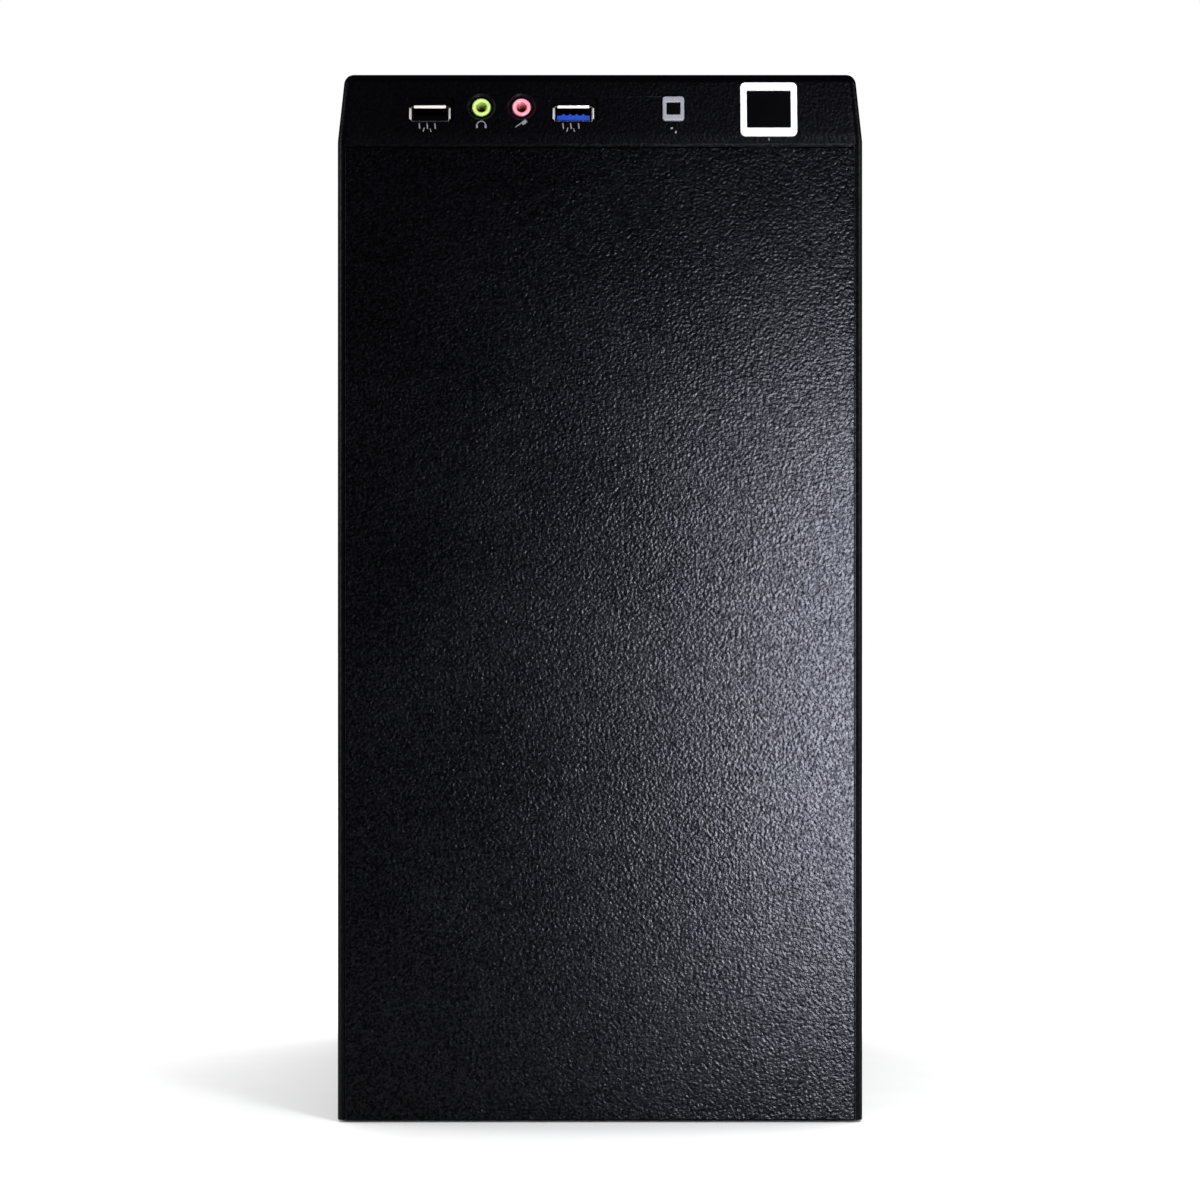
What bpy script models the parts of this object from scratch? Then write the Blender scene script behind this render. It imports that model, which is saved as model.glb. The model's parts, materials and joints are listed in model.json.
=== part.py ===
"""Desktop computer tower: a narrow steel case with a flat plastic front and a sloping port strip on top.

The front faces -Y, +X is on the viewer's right and the feet stand on Z = 0. The power supply sits at the
top of the back, above the motherboard, which hangs on a tray on the +X side.
"""
import math

import bmesh
import bpy
from mathutils import Matrix, Vector

MM = 0.001
GAP = 0.3 * MM

# Overall size, measured over the front panel and the heads of the thumbscrews.
WIDTH = 175 * MM
HEIGHT = 350 * MM
DEPTH = 345 * MM
FRONT_Y = -DEPTH / 2
BACK_Y = DEPTH / 2

# Plastic front: a bezel shell with a flat panel in it and a strip that leans back above the fold.
BEZEL_WALL = 2.4 * MM
BEZEL_DEPTH = 25 * MM
BEZEL_ROUND = 2.3 * MM
BEZEL_BOTTOM = 0.8 * MM
PANEL_PROUD = 0.5 * MM
PANEL_HALF = 84.9 * MM
PANEL_TOP = 324.9 * MM
PANEL_THICK = 1.4 * MM
PANEL_ROUND = 0.45 * MM
POCKET_TOP = 326.1 * MM
FOLD_Z = 327 * MM
STRIP_TILT = math.radians(16)
STRIP_TOP_HALF = 85.4 * MM
BEZEL_Y = FRONT_Y + PANEL_PROUD
BEZEL_BACK = FRONT_Y + BEZEL_DEPTH
CLIP_SPREAD_X = 60 * MM
CLIP_HEIGHTS = (40 * MM, 300 * MM)
CLIP_SIZE = Vector((8, 0, 3)) * MM

# Places on the strip, as (X, height up the slope from the fold).
USB2_AT = (-56.8 * MM, 10.2 * MM)
HEADPHONE_AT = (-39.6 * MM, 12.2 * MM)
MICROPHONE_AT = (-26.2 * MM, 12.2 * MM)
USB3_AT = (-8.9 * MM, 10.2 * MM)
RESET_AT = (24.5 * MM, 11.4 * MM)
POWER_AT = (56.3 * MM, 11.2 * MM)

# Holes in the strip, and what stands in them.
STRIP_CUT = 8 * MM
USB_HOLE = Vector((14 * MM, STRIP_CUT, 6.6 * MM))
USB_RECESS = Vector((16.4, 3, 9)) * MM
USB_RECESS_RISE = 0.9 * MM
USB_SHELL = Vector((13.1, 14, 5.7)) * MM
USB_MOUTH = Vector((12.4, 14, 5)) * MM
USB_SET_BACK = 0.9 * MM
TONGUE = Vector((11.1, 10.5, 1.9)) * MM
JACK_HOLE = 3.4 * MM
JACK_RECESS = 4.4 * MM
JACK_BORE = 1.8 * MM
RESET_HOLE = Vector((7.9 * MM, STRIP_CUT, 9.2 * MM))
RESET_SIZE = (7.2 * MM, 8.5 * MM)
RESET_INSIDE = (4.6 * MM, 4.4 * MM)
RESET_ROUND = 1 * MM
POWER_HOLE = Vector((19.6 * MM, STRIP_CUT, 19.6 * MM))
POWER_SIZE = (18.9 * MM, 18.9 * MM)
POWER_INSIDE = (14.9 * MM, 14.9 * MM)
POWER_ROUND = 1.7 * MM

# Steel chassis.
SHEET = 0.8 * MM
SEAM = 0.4 * MM
CHASSIS_HALF = 85.4 * MM
BASE_Z = 8 * MM
TOP_Z = 347.5 * MM
CHASSIS_FRONT = BEZEL_BACK + SEAM
REAR_Y = BACK_Y - 9 * MM
REAR_INSIDE = REAR_Y - SHEET
FLOOR_Z = BASE_Z + SHEET
CEILING_Z = TOP_Z - SHEET
TRAY_X = 73 * MM
SIDE_X = 86.8 * MM
RAIL_X = 76.5 * MM
FLANGE_STAND = 1.2 * MM
FOOT_X = 62 * MM
FOOT_FRONT_Y = -118 * MM
FOOT_BACK_Y = 132 * MM
SCREW_X = 81.3 * MM
SCREW_HEIGHTS = (45 * MM, 305 * MM)
SCREW_HOLE = 2.3 * MM

# Motherboard, with its connector bay and its expansion slots.
BOARD_X = 65 * MM
BOARD_THICK = 1.6 * MM
BOARD_SIZE = 244 * MM
BOARD_BOTTOM = 12 * MM
BOARD_BACK = REAR_INSIDE - 1.5 * MM
BAY_LOW = (24.3 * MM, 97 * MM)
BAY_HIGH = (68.7 * MM, 255.7 * MM)
SLOT_PITCH = 20.32 * MM
SLOT_FIRST_Z = 22.5 * MM
SLOT_COUNT = 4
CPU_AT = (76 * MM, 188 * MM)

# Fans, power supply and drive.
REAR_FAN_SIZE = 92 * MM
REAR_FAN_AT = (-30 * MM, 200 * MM)
CPU_FAN_SIZE = 80 * MM
PSU_FAN_SIZE = 120 * MM
FAN_THICK = 25 * MM
PSU_SIZE = Vector((150, 140, 86)) * MM
PSU_LOW = Vector((-77.5 * MM, REAR_INSIDE - GAP - PSU_SIZE.y, 258.5 * MM))
PSU_WALL = 1 * MM
PSU_FAN_SHIFT = 7 * MM
PSU_BACK = PSU_LOW.y + PSU_SIZE.y
INLET_AT = (48 * MM, 319 * MM)
SWITCH_AT = (48 * MM, 286 * MM)
ROCKER_REST = math.radians(-12)
DRIVE_SIZE = Vector((101.6, 147, 26.1)) * MM
CAGE_LOW = Vector((-74, -133, 9.1)) * MM
CAGE_HIGH = Vector((31.8, -3, 72)) * MM
CAGE_WALL = 1 * MM

# Colour, roughness and metallic value of each material.
MATERIALS = {
    "black_plastic": ((0.012, 0.012, 0.015), 0.5, 0.0),
    "black_paint": ((0.015, 0.015, 0.017), 0.45, 0.3),
    "white_plastic": ((0.8, 0.8, 0.82), 0.3, 0.0),
    "silver_plastic": ((0.42, 0.43, 0.47), 0.35, 0.4),
    "steel": ((0.55, 0.56, 0.57), 0.4, 1.0),
    "aluminium": ((0.7, 0.71, 0.72), 0.35, 1.0),
    "blue_plastic": ((0.01, 0.08, 0.5), 0.35, 0.0),
    "green_plastic": ((0.32, 0.55, 0.09), 0.35, 0.0),
    "pink_plastic": ((0.75, 0.2, 0.27), 0.35, 0.0),
    "circuit_board": ((0.01, 0.05, 0.025), 0.4, 0.0),
    "rubber": ((0.02, 0.02, 0.02), 0.8, 0.0),
}


def remove_old_objects():
    """Empty the scene."""
    for item in list(bpy.data.objects):
        bpy.data.objects.remove(item, do_unlink=True)


def new_collection(name):
    """Add a collection to the scene."""
    collection = bpy.data.collections.new(name)
    bpy.context.scene.collection.children.link(collection)
    return collection


def new_material(name):
    """Make one of the listed materials."""
    colour, roughness, metallic = MATERIALS[name]
    material = bpy.data.materials.new(name)
    material.use_nodes = True
    shader = material.node_tree.nodes["Principled BSDF"]
    shader.inputs["Base Color"].default_value = (*colour, 1)
    shader.inputs["Roughness"].default_value = roughness
    shader.inputs["Metallic"].default_value = metallic
    return material


def add_object(name, mesh, at, parent=None):
    """Put a mesh in the scene as a part, or as a cutter if its name says so."""
    item = bpy.data.objects.new(name, mesh)
    is_cutter = name.startswith("cutter_")
    collection = CUTTERS if is_cutter else PARTS
    collection.objects.link(item)
    item.location = at
    item.parent = parent
    if is_cutter:
        item.hide_render = True
        item.display_type = "WIRE"
    return item


def paint(item, material_name):
    """Give a part its own copy of a material."""
    item.data.materials.clear()
    item.data.materials.append(new_material(material_name))
    return item


def finish_mesh(name, shape):
    """Turn a bmesh into a mesh with its normals outward."""
    bmesh.ops.recalc_face_normals(shape, faces=shape.faces)
    mesh = bpy.data.meshes.new(name)
    shape.to_mesh(mesh)
    shape.free()
    return mesh


def box(name, size, at, parent=None):
    """A box of the given size, centred on its place."""
    return boxes(name, [(Vector(size), Vector((0, 0, 0)))], at, parent)


def boxes(name, parts, at=(0, 0, 0), parent=None):
    """Several boxes in one mesh, each given as its size and its centre."""
    shape = bmesh.new()
    for size, centre in parts:
        place = Matrix.Translation(centre) @ Matrix.Diagonal((*size, 1))
        bmesh.ops.create_cube(shape, size=1, matrix=place)
    return add_object(name, finish_mesh(name, shape), at, parent)


def between(name, low, high, parent=None):
    """A box between two corners."""
    low = Vector(low)
    high = Vector(high)
    return box(name, high - low, (low + high) / 2, parent)


def rounded_box(name, size, radius, at, parent=None, segments=3):
    """A box whose four edges along Y are rounded."""
    shape = bmesh.new()
    bmesh.ops.create_cube(shape, size=1, matrix=Matrix.Diagonal((*size, 1)))
    edges = [e for e in shape.edges if abs(e.verts[0].co.y - e.verts[1].co.y) > size[1] / 2]
    bmesh.ops.bevel(shape, geom=edges, offset=radius, segments=segments, profile=0.5, affect="EDGES")
    return add_object(name, finish_mesh(name, shape), at, parent)


def cylinder(name, radius, length, at, turn="Z", sides=24, parent=None):
    """A cylinder centred on its place, with its axis along X, Y or Z."""
    shape = bmesh.new()
    bmesh.ops.create_cone(shape, cap_ends=True, segments=sides, radius1=radius, radius2=radius, depth=length)
    if turn == "X":
        bmesh.ops.rotate(shape, matrix=Matrix.Rotation(math.pi / 2, 3, "Y"), verts=shape.verts)
    if turn == "Y":
        bmesh.ops.rotate(shape, matrix=Matrix.Rotation(math.pi / 2, 3, "X"), verts=shape.verts)
    return add_object(name, finish_mesh(name, shape), at, parent)


def turned(name, profile, steps, at, parent=None):
    """A solid of revolution about Z, from (radius, height) points that run down its outer side."""
    mesh = bpy.data.meshes.new(name)
    points = [(radius, 0, height) for radius, height in profile]
    edges = [(i, i + 1) for i in range(len(points) - 1)]
    mesh.from_pydata(points, edges, [])
    item = add_object(name, mesh, at, parent)
    screw = item.modifiers.new("turn", "SCREW")
    screw.steps = steps
    screw.render_steps = steps
    screw.use_merge_vertices = True
    screw.merge_threshold = 0.00001
    return item


def boolean(item, other, operation):
    """Cut one object with another, or join them."""
    modifier = item.modifiers.new(operation.lower(), "BOOLEAN")
    modifier.operation = operation
    modifier.solver = "EXACT"
    modifier.object = other
    return item


def cut(item, cutter):
    """Take a cutter out of a part."""
    return boolean(item, cutter, "DIFFERENCE")


def join(item, other):
    """Add a shape to a part."""
    return boolean(item, other, "UNION")


def tube(name, points, radius):
    """A round cable through a list of points, smoothed between them."""
    curve = bpy.data.curves.new(name, "CURVE")
    curve.dimensions = "3D"
    curve.bevel_depth = radius
    curve.bevel_resolution = 2
    curve.use_fill_caps = True
    spline = curve.splines.new("POLY")
    route = smooth_route([Vector(p) * MM for p in points], 4)
    spline.points.add(len(route) - 1)
    for point, place in zip(spline.points, route):
        point.co = (*place, 1)
    return add_object(name, curve, (0, 0, 0))


def smooth_route(points, pieces):
    """Points of a Catmull-Rom curve through the given points."""
    ends = [points[0] * 2 - points[1]] + points + [points[-1] * 2 - points[-2]]
    route = [points[0]]
    for a, b, c, d in zip(ends, ends[1:], ends[2:], ends[3:]):
        for step in range(1, pieces + 1):
            t = step / pieces
            linear = (c - a) * t
            square = (a * 2 - b * 5 + c * 4 - d) * t ** 2
            cubic = (b * 3 - a - c * 3 + d) * t ** 3
            route.append((b * 2 + linear + square + cubic) / 2)
    return route


def strip_frame():
    """An empty on the fold: its X runs along the strip, its Y goes into the case and its Z up the slope."""
    empty = bpy.data.objects.new("strip_frame", None)
    PARTS.objects.link(empty)
    empty.location = (0, BEZEL_Y, FOLD_Z)
    empty.rotation_euler = (-STRIP_TILT, 0, 0)
    return empty


def front_bezel(frame):
    """The plastic shell of the front, open at the back, with four clips that go into the chassis."""
    half = WIDTH / 2
    shape = bmesh.new()
    size = (WIDTH, BEZEL_BACK - BEZEL_Y, HEIGHT - BEZEL_BOTTOM)
    centre = Vector((0, (BEZEL_Y + BEZEL_BACK) / 2, (BEZEL_BOTTOM + HEIGHT) / 2))
    place = Matrix.Translation(centre) @ Matrix.Diagonal((*size, 1))
    bmesh.ops.create_cube(shape, size=1, matrix=place)
    back = [f for f in shape.faces if f.normal.y > 0.9]
    bmesh.ops.delete(shape, geom=back, context="FACES_ONLY")
    corners = [e for e in shape.edges if is_bezel_corner(e, centre.y)]
    bmesh.ops.bevel(shape, geom=corners, offset=BEZEL_ROUND, segments=3, profile=0.5, affect="EDGES")
    everything = shape.verts[:] + shape.edges[:] + shape.faces[:]
    bmesh.ops.bisect_plane(shape, geom=everything, plane_co=(0, 0, FOLD_Z), plane_no=(0, 0, 1))
    for vertex in shape.verts:
        rise = max(vertex.co.z - FOLD_Z, 0)
        vertex.co.x *= 1 - rise / (HEIGHT - FOLD_Z) * (1 - STRIP_TOP_HALF / half)
        if vertex.co.y < centre.y:
            vertex.co.y += rise * math.tan(STRIP_TILT)
    item = add_object("front_bezel", finish_mesh("front_bezel", shape), (0, 0, 0))
    shell = item.modifiers.new("wall", "SOLIDIFY")
    shell.thickness = BEZEL_WALL
    shell.offset = -1
    shell.use_even_offset = True

    clips = []
    clip_length = CHASSIS_FRONT + 5 * MM - (BEZEL_Y + BEZEL_WALL / 2)
    for x in (-CLIP_SPREAD_X, CLIP_SPREAD_X):
        for z in CLIP_HEIGHTS:
            size = Vector((CLIP_SIZE.x, clip_length, CLIP_SIZE.z))
            clips.append((size, Vector((x, BEZEL_Y + BEZEL_WALL / 2 + clip_length / 2, z))))
    join(item, boxes("cutter_clips", clips))

    pocket_half = PANEL_HALF + GAP
    pocket_floor = FRONT_Y + PANEL_THICK + GAP
    low = (-pocket_half, FRONT_Y - 5 * MM, -5 * MM)
    high = (pocket_half, pocket_floor, POCKET_TOP)
    cut(item, between("cutter_panel_pocket", low, high))

    vents = []
    for step in range(-3, 4):
        vents.append((Vector((14, 9, 8)) * MM, Vector((20 * MM * step, BEZEL_Y + 14 * MM, 0))))
    cut(item, boxes("cutter_bezel_vents", vents))

    for name, (x, up) in (("usb2", USB2_AT), ("usb3", USB3_AT)):
        cut(item, box("cutter_" + name + "_hole", USB_HOLE, (x, 0, up), frame))
        recess_at = (x, 0, up + USB_RECESS_RISE)
        cut(item, rounded_box("cutter_" + name + "_recess", USB_RECESS, 1 * MM, recess_at, frame))
    for name, (x, up) in (("headphone", HEADPHONE_AT), ("microphone", MICROPHONE_AT)):
        cut(item, cylinder("cutter_" + name + "_hole", JACK_HOLE, STRIP_CUT, (x, 0, up), "Y", 20, frame))
        cut(item, cylinder("cutter_" + name + "_recess", JACK_RECESS, 1.4 * MM, (x, 0, up), "Y", 20, frame))
    buttons = (("reset", RESET_AT, RESET_HOLE, RESET_ROUND), ("power", POWER_AT, POWER_HOLE, POWER_ROUND))
    for name, (x, up), size, radius in buttons:
        cut(item, rounded_box("cutter_" + name + "_hole", size, radius + 0.4 * MM, (x, 0, up), frame))
    return paint(item, "black_plastic")


def is_bezel_corner(edge, middle_y):
    """Whether an edge of the bezel is one of its front uprights or one of the three edges of its top."""
    a = edge.verts[0].co
    b = edge.verts[1].co
    at_front = a.y < middle_y and b.y < middle_y
    at_top = a.z > HEIGHT - GAP and b.z > HEIGHT - GAP
    upright = at_front and abs(a.z - b.z) > BEZEL_DEPTH / 2
    runs_back = abs(a.y - b.y) > BEZEL_DEPTH / 3 and abs(a.x - b.x) < GAP
    return upright or (at_top and (at_front or runs_back))


def front_panel():
    """The flat plate that fills the bezel below the strip."""
    low = (-PANEL_HALF, FRONT_Y, BEZEL_BOTTOM)
    high = (PANEL_HALF, FRONT_Y + PANEL_THICK, PANEL_TOP)
    item = between("front_panel", low, high)
    bevel = item.modifiers.new("round", "BEVEL")
    bevel.width = PANEL_ROUND
    bevel.segments = 2
    return paint(item, "black_plastic")


def usb_socket(name, place, tongue_material, frame):
    """A steel USB shell and the plastic tongue in it."""
    x, up = place
    middle = USB_SET_BACK + USB_SHELL.y / 2
    shell = rounded_box(name + "_shell", USB_SHELL, 0.5 * MM, (x, middle, up), frame, 2)
    cut(shell, box("cutter_" + name + "_mouth", USB_MOUTH, (x, middle - 0.8 * MM, up), frame))
    paint(shell, "steel")
    tongue_middle = USB_SET_BACK + 1.2 * MM + TONGUE.y / 2
    tongue = box(name + "_tongue", TONGUE, (x, tongue_middle, up - 1.15 * MM), frame)
    paint(tongue, tongue_material)


def audio_jack(name, place, material_name, frame):
    """A round jack: a nose that fills the hole in the strip, a wider body behind it and a blind bore."""
    x, up = place
    nose = 3.05 * MM
    body = 4.1 * MM
    shoulder = -3.2 * MM
    back = -15.4 * MM
    bore_end = -13 * MM
    lead_in = 0.3 * MM
    profile = [(0, bore_end), (JACK_BORE, bore_end), (JACK_BORE, -lead_in), (JACK_BORE + lead_in, 0),
               (nose, 0), (nose, shoulder), (body, shoulder), (body, back), (0, back)]
    item = turned(name, profile, 20, (x, 0, up), frame)
    item.rotation_euler = (math.pi / 2, 0, 0)
    return paint(item, material_name)


def push_button(name, place, size, inside, radius, stem, material_names, frame):
    """A black cap with a stem behind it, and a coloured rim round its face. Its origin is on its slide."""
    x, up = place
    rim_front = -0.8 * MM
    rim_back = 1.4 * MM
    cap_front = -0.35 * MM
    cap_back = 5 * MM
    stem_end = 10.8 * MM
    at = (x, 0, up)
    cap_material, rim_material = material_names

    rim_depth = rim_back - rim_front
    rim_middle = (rim_back + rim_front) / 2
    rim = rounded_box(name + "_rim", (size[0], rim_depth, size[1]), radius, (x, rim_middle, up), frame)
    hole = rounded_box("cutter_" + name + "_rim", (inside[0], 4 * rim_depth, inside[1]), radius / 2,
                       (x, rim_middle, up), frame)
    cut(rim, hole)
    paint(rim, rim_material)

    back_depth = cap_back - rim_back - GAP
    back_size = Vector((size[0] - 0.6 * MM, back_depth, size[1] - 0.6 * MM))
    cap = boxes(name, [(back_size, Vector((0, cap_back - back_depth / 2, 0)))], at, frame)
    face_depth = cap_back - cap_front - 1 * MM
    face_size = (inside[0] - 0.6 * MM, face_depth, inside[1] - 0.6 * MM)
    face = rounded_box("cutter_" + name + "_face", face_size, radius / 3,
                       (x, cap_front + face_depth / 2, up), frame)
    join(cap, face)
    stem_length = stem_end - cap_back + 2 * MM
    stem_at = (x, stem_end - stem_length / 2, up)
    join(cap, box("cutter_" + name + "_stem", (stem, stem_length, stem), stem_at, frame))
    return paint(cap, cap_material)


def front_electronics(frame):
    """The circuit board behind the strip and the two switches that the buttons press."""
    board = box("front_io_board", Vector((136, 1.4, 17.5)) * MM, Vector((0, 16.5, 10.75)) * MM, frame)
    paint(board, "circuit_board")
    for name, (x, up), side in (("power_switch", POWER_AT, 12 * MM), ("reset_switch", RESET_AT, 6 * MM)):
        body = box(name, (side, 2.2 * MM, side), (x, 14.4 * MM, up), frame)
        plunger_at = (x, 13.5 * MM, up)
        join(body, cylinder("cutter_" + name + "_plunger", side / 4, 1.8 * MM, plunger_at, "Y", 16, frame))
        paint(body, "black_plastic")


def chassis_base():
    """The floor of the chassis, with a rail along each side and its air slots."""
    low = (-CHASSIS_HALF, CHASSIS_FRONT, BASE_Z)
    high = (CHASSIS_HALF, REAR_Y, FLOOR_Z)
    item = between("chassis_base", low, high)
    middle_y = (CHASSIS_FRONT + REAR_Y) / 2
    rail_length = REAR_Y - CHASSIS_FRONT - 30 * MM
    rails = []
    for x in (-RAIL_X, RAIL_X):
        rails.append((Vector((SHEET, rail_length, 7 * MM)), Vector((x, middle_y, BASE_Z + 3.9 * MM))))
    join(item, boxes("cutter_base_rails", rails))
    slots = []
    for step in range(8):
        slots.append((Vector((60, 4, 8)) * MM, Vector((0, 40 * MM + step * 9 * MM, BASE_Z))))
    cut(item, boxes("cutter_base_slots", slots))
    return paint(item, "black_paint")


def chassis_top():
    """The roof of the chassis, with a short rail along each side."""
    low = (-CHASSIS_HALF, CHASSIS_FRONT, CEILING_Z)
    high = (CHASSIS_HALF, REAR_Y, TOP_Z)
    item = between("chassis_top", low, high)
    rail_length = PSU_LOW.y - CHASSIS_FRONT - 12 * MM
    rail_middle = CHASSIS_FRONT + 4 * MM + rail_length / 2
    rails = []
    for x in (-RAIL_X, RAIL_X):
        rails.append((Vector((SHEET, rail_length, 9 * MM)), Vector((x, rail_middle, TOP_Z - 4.9 * MM))))
    join(item, boxes("cutter_top_rails", rails))
    return paint(item, "black_paint")


def chassis_front():
    """The steel wall behind the bezel, with holes for its clips, the cable and the air."""
    low = (-75.5 * MM, CHASSIS_FRONT, FLOOR_Z + GAP)
    high = (72.5 * MM, CHASSIS_FRONT + SHEET, CEILING_Z - GAP)
    item = between("chassis_front", low, high)
    holes = []
    for x in (-CLIP_SPREAD_X, CLIP_SPREAD_X):
        for z in CLIP_HEIGHTS:
            holes.append((Vector((9, 6, 4)) * MM, Vector((x, CHASSIS_FRONT, z))))
    holes.append((Vector((24, 6, 16)) * MM, Vector((48 * MM, CHASSIS_FRONT, 322 * MM))))
    for step in range(12):
        holes.append((Vector((90, 6, 5)) * MM, Vector((0, CHASSIS_FRONT, 110 * MM + step * 11 * MM))))
    cut(item, boxes("cutter_chassis_front", holes))
    return paint(item, "steel")


def chassis_rear():
    """The back wall: windows for the supply and the ports, expansion slots, fan grille and screw holes."""
    low = (-CHASSIS_HALF, REAR_INSIDE, FLOOR_Z + GAP)
    high = (CHASSIS_HALF, REAR_Y, CEILING_Z - GAP)
    item = between("chassis_rear", low, high)
    depth = 6 * MM
    windows = [((-73.5 * MM, 262.5 * MM), (68.5 * MM, 340.5 * MM)), (BAY_LOW, BAY_HIGH)]
    for number in range(SLOT_COUNT):
        z = SLOT_FIRST_Z + number * SLOT_PITCH
        windows.append(((-34 * MM, z - 6.8 * MM), (60 * MM, z + 6.8 * MM)))
    holes = []
    for (x0, z0), (x1, z1) in windows:
        holes.append((Vector((x1 - x0, depth, z1 - z0)), Vector(((x0 + x1) / 2, REAR_Y, (z0 + z1) / 2))))
    grille = REAR_FAN_SIZE / 2 - 3 * MM
    for step in range(-5, 6):
        rise = step * 7.5 * MM
        reach = math.sqrt(grille ** 2 - rise ** 2)
        for side in (-1, 1):
            centre = Vector((REAR_FAN_AT[0] + side * (reach / 2 + 1.2 * MM), REAR_Y, REAR_FAN_AT[1] + rise))
            holes.append((Vector((reach, depth, 5 * MM)), centre))
    cut(item, boxes("cutter_rear_windows", holes))
    for side, x in (("left", -SCREW_X), ("right", SCREW_X)):
        for number, z in enumerate(SCREW_HEIGHTS):
            name = "cutter_rear_screw_" + side + str(number)
            cut(item, cylinder(name, SCREW_HOLE, depth, (x, REAR_Y, z), "Y", 12))
    return paint(item, "steel")


def motherboard_tray():
    """The plate that the motherboard hangs on, with its stand-offs."""
    low = (TRAY_X, CHASSIS_FRONT + 4 * MM, FLOOR_Z + GAP)
    high = (TRAY_X + SHEET, REAR_INSIDE - GAP, CEILING_Z - GAP)
    item = between("motherboard_tray", low, high)
    height = TRAY_X - BOARD_X - BOARD_THICK - GAP
    for row, z in enumerate((20 * MM, 130 * MM, 245 * MM)):
        for column, y in enumerate((-70 * MM, 40 * MM, 150 * MM)):
            name = "cutter_standoff_" + str(row) + str(column)
            centre = (TRAY_X - height / 2 + SHEET / 4, y, z)
            join(item, cylinder(name, 3 * MM, height + SHEET / 2, centre, "X", 6))
    return paint(item, "steel")


def side_panel(name, side):
    """A side cover that slides backwards: its skin, its two lips and its rear flange with screw holes."""
    skin_front = BEZEL_BACK + SEAM
    flange_back = REAR_Y + FLANGE_STAND
    low_z = BASE_Z + SEAM
    high_z = TOP_Z - SEAM
    middle_z = (low_z + high_z) / 2
    size = (SHEET, flange_back - skin_front, high_z - low_z)
    item = box(name, size, (side * (SIDE_X - SHEET / 2), (flange_back + skin_front) / 2, middle_z))
    reach = 8 * MM
    lip_length = 280 * MM
    lips = []
    for z in (FLOOR_Z + GAP + SHEET / 2, CEILING_Z - GAP - SHEET / 2):
        centre = Vector((side * (SIDE_X - SHEET / 2 - reach / 2), 0, z))
        lips.append((Vector((reach, lip_length, SHEET)), centre))
    join(item, boxes("cutter_" + name + "_lips", lips))
    flange = 12.4 * MM
    centre = (side * (SIDE_X - SHEET / 2 - flange / 2), flange_back - SHEET / 2, middle_z)
    join(item, box("cutter_" + name + "_flange", (flange, SHEET, high_z - low_z), centre))
    for number, z in enumerate(SCREW_HEIGHTS):
        place = (side * SCREW_X, flange_back, z)
        cut(item, cylinder("cutter_" + name + "_screw" + str(number), SCREW_HOLE, 5 * MM, place, "Y", 12))
    if side < 0:
        slots = []
        for group_z, count in ((188 * MM, 9), (55 * MM, 6)):
            for step in range(count):
                rise = (step - (count - 1) / 2) * 8 * MM
                slots.append((Vector((4, 70, 4)) * MM, Vector((-SIDE_X, 70 * MM, group_z + rise))))
        cut(item, boxes("cutter_" + name + "_vents", slots))
    return paint(item, "black_paint")


def thumbscrew(name, x, z):
    """A knurled screw with its axis along Y and its head at the very back."""
    head = 5 * MM
    collar = 3.6 * MM
    shank = 1.7 * MM
    chamfer = 0.6 * MM
    tip = -6.6 * MM
    top = BACK_Y - REAR_Y
    under = FLANGE_STAND + GAP
    profile = [(0, top), (head - chamfer, top), (head, top - chamfer), (head, under + 2 * MM),
               (collar, under + 1.6 * MM), (collar, under), (shank, under), (shank, tip + chamfer), (0, tip)]
    item = turned(name, profile, 16, (x, REAR_Y, z))
    item.rotation_euler = (-math.pi / 2, 0, 0)
    return paint(item, "steel")


def foot(name, x, y):
    """A low rubber foot under the base."""
    top = BASE_Z - GAP
    profile = [(0, top), (10.5 * MM, top), (9 * MM, 0.5 * MM), (8.5 * MM, 0), (0, 0)]
    return paint(turned(name, profile, 24, (x, y, 0)), "rubber")


def slot_cover(number):
    """A blank plate over one expansion slot, with a bent tab at its outer end."""
    z = SLOT_FIRST_Z + number * SLOT_PITCH
    name = "slot_cover_" + str(number + 1)
    face_y = REAR_INSIDE - GAP
    half = 9 * MM
    tab_x = -42 * MM
    tab_y = face_y - 11 * MM
    item = between(name, (tab_x, face_y - SHEET, z - half), (68 * MM, face_y, z + half))
    tab_low = (tab_x - SHEET, tab_y, z - half)
    tab_high = (tab_x + SHEET / 2, face_y, z + half)
    join(item, between("cutter_" + name + "_tab", tab_low, tab_high))
    return paint(item, "steel")


def motherboard():
    """The main circuit board, with the sockets that are soldered to it."""
    low = (BOARD_X, BOARD_BACK - BOARD_SIZE, BOARD_BOTTOM)
    high = (BOARD_X + BOARD_THICK, BOARD_BACK, BOARD_BOTTOM + BOARD_SIZE)
    item = between("motherboard", low, high)
    cpu_y, cpu_z = CPU_AT
    sockets = [
        ((7.5, 46, 46), (cpu_y, cpu_z)),
        ((8, 6.5, 140), (10 * MM, 172 * MM)),
        ((8, 6.5, 140), (0, 172 * MM)),
        ((11, 89, 7.5), (98 * MM, SLOT_FIRST_Z + 3 * SLOT_PITCH)),
        ((11, 25, 7.5), (130 * MM, SLOT_FIRST_Z + 1 * SLOT_PITCH)),
        ((10, 10, 52), (-72 * MM, 150 * MM)),
        ((8, 14, 18), (-70 * MM, 60 * MM)),
    ]
    parts = []
    rooted = BOARD_THICK / 2
    for size, (y, z) in sockets:
        size = Vector(size) * MM + Vector((rooted, 0, 0))
        parts.append((size, Vector((BOARD_X + rooted - size.x / 2, y, z))))
    join(item, boxes("cutter_board_sockets", parts))
    return paint(item, "circuit_board")


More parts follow.
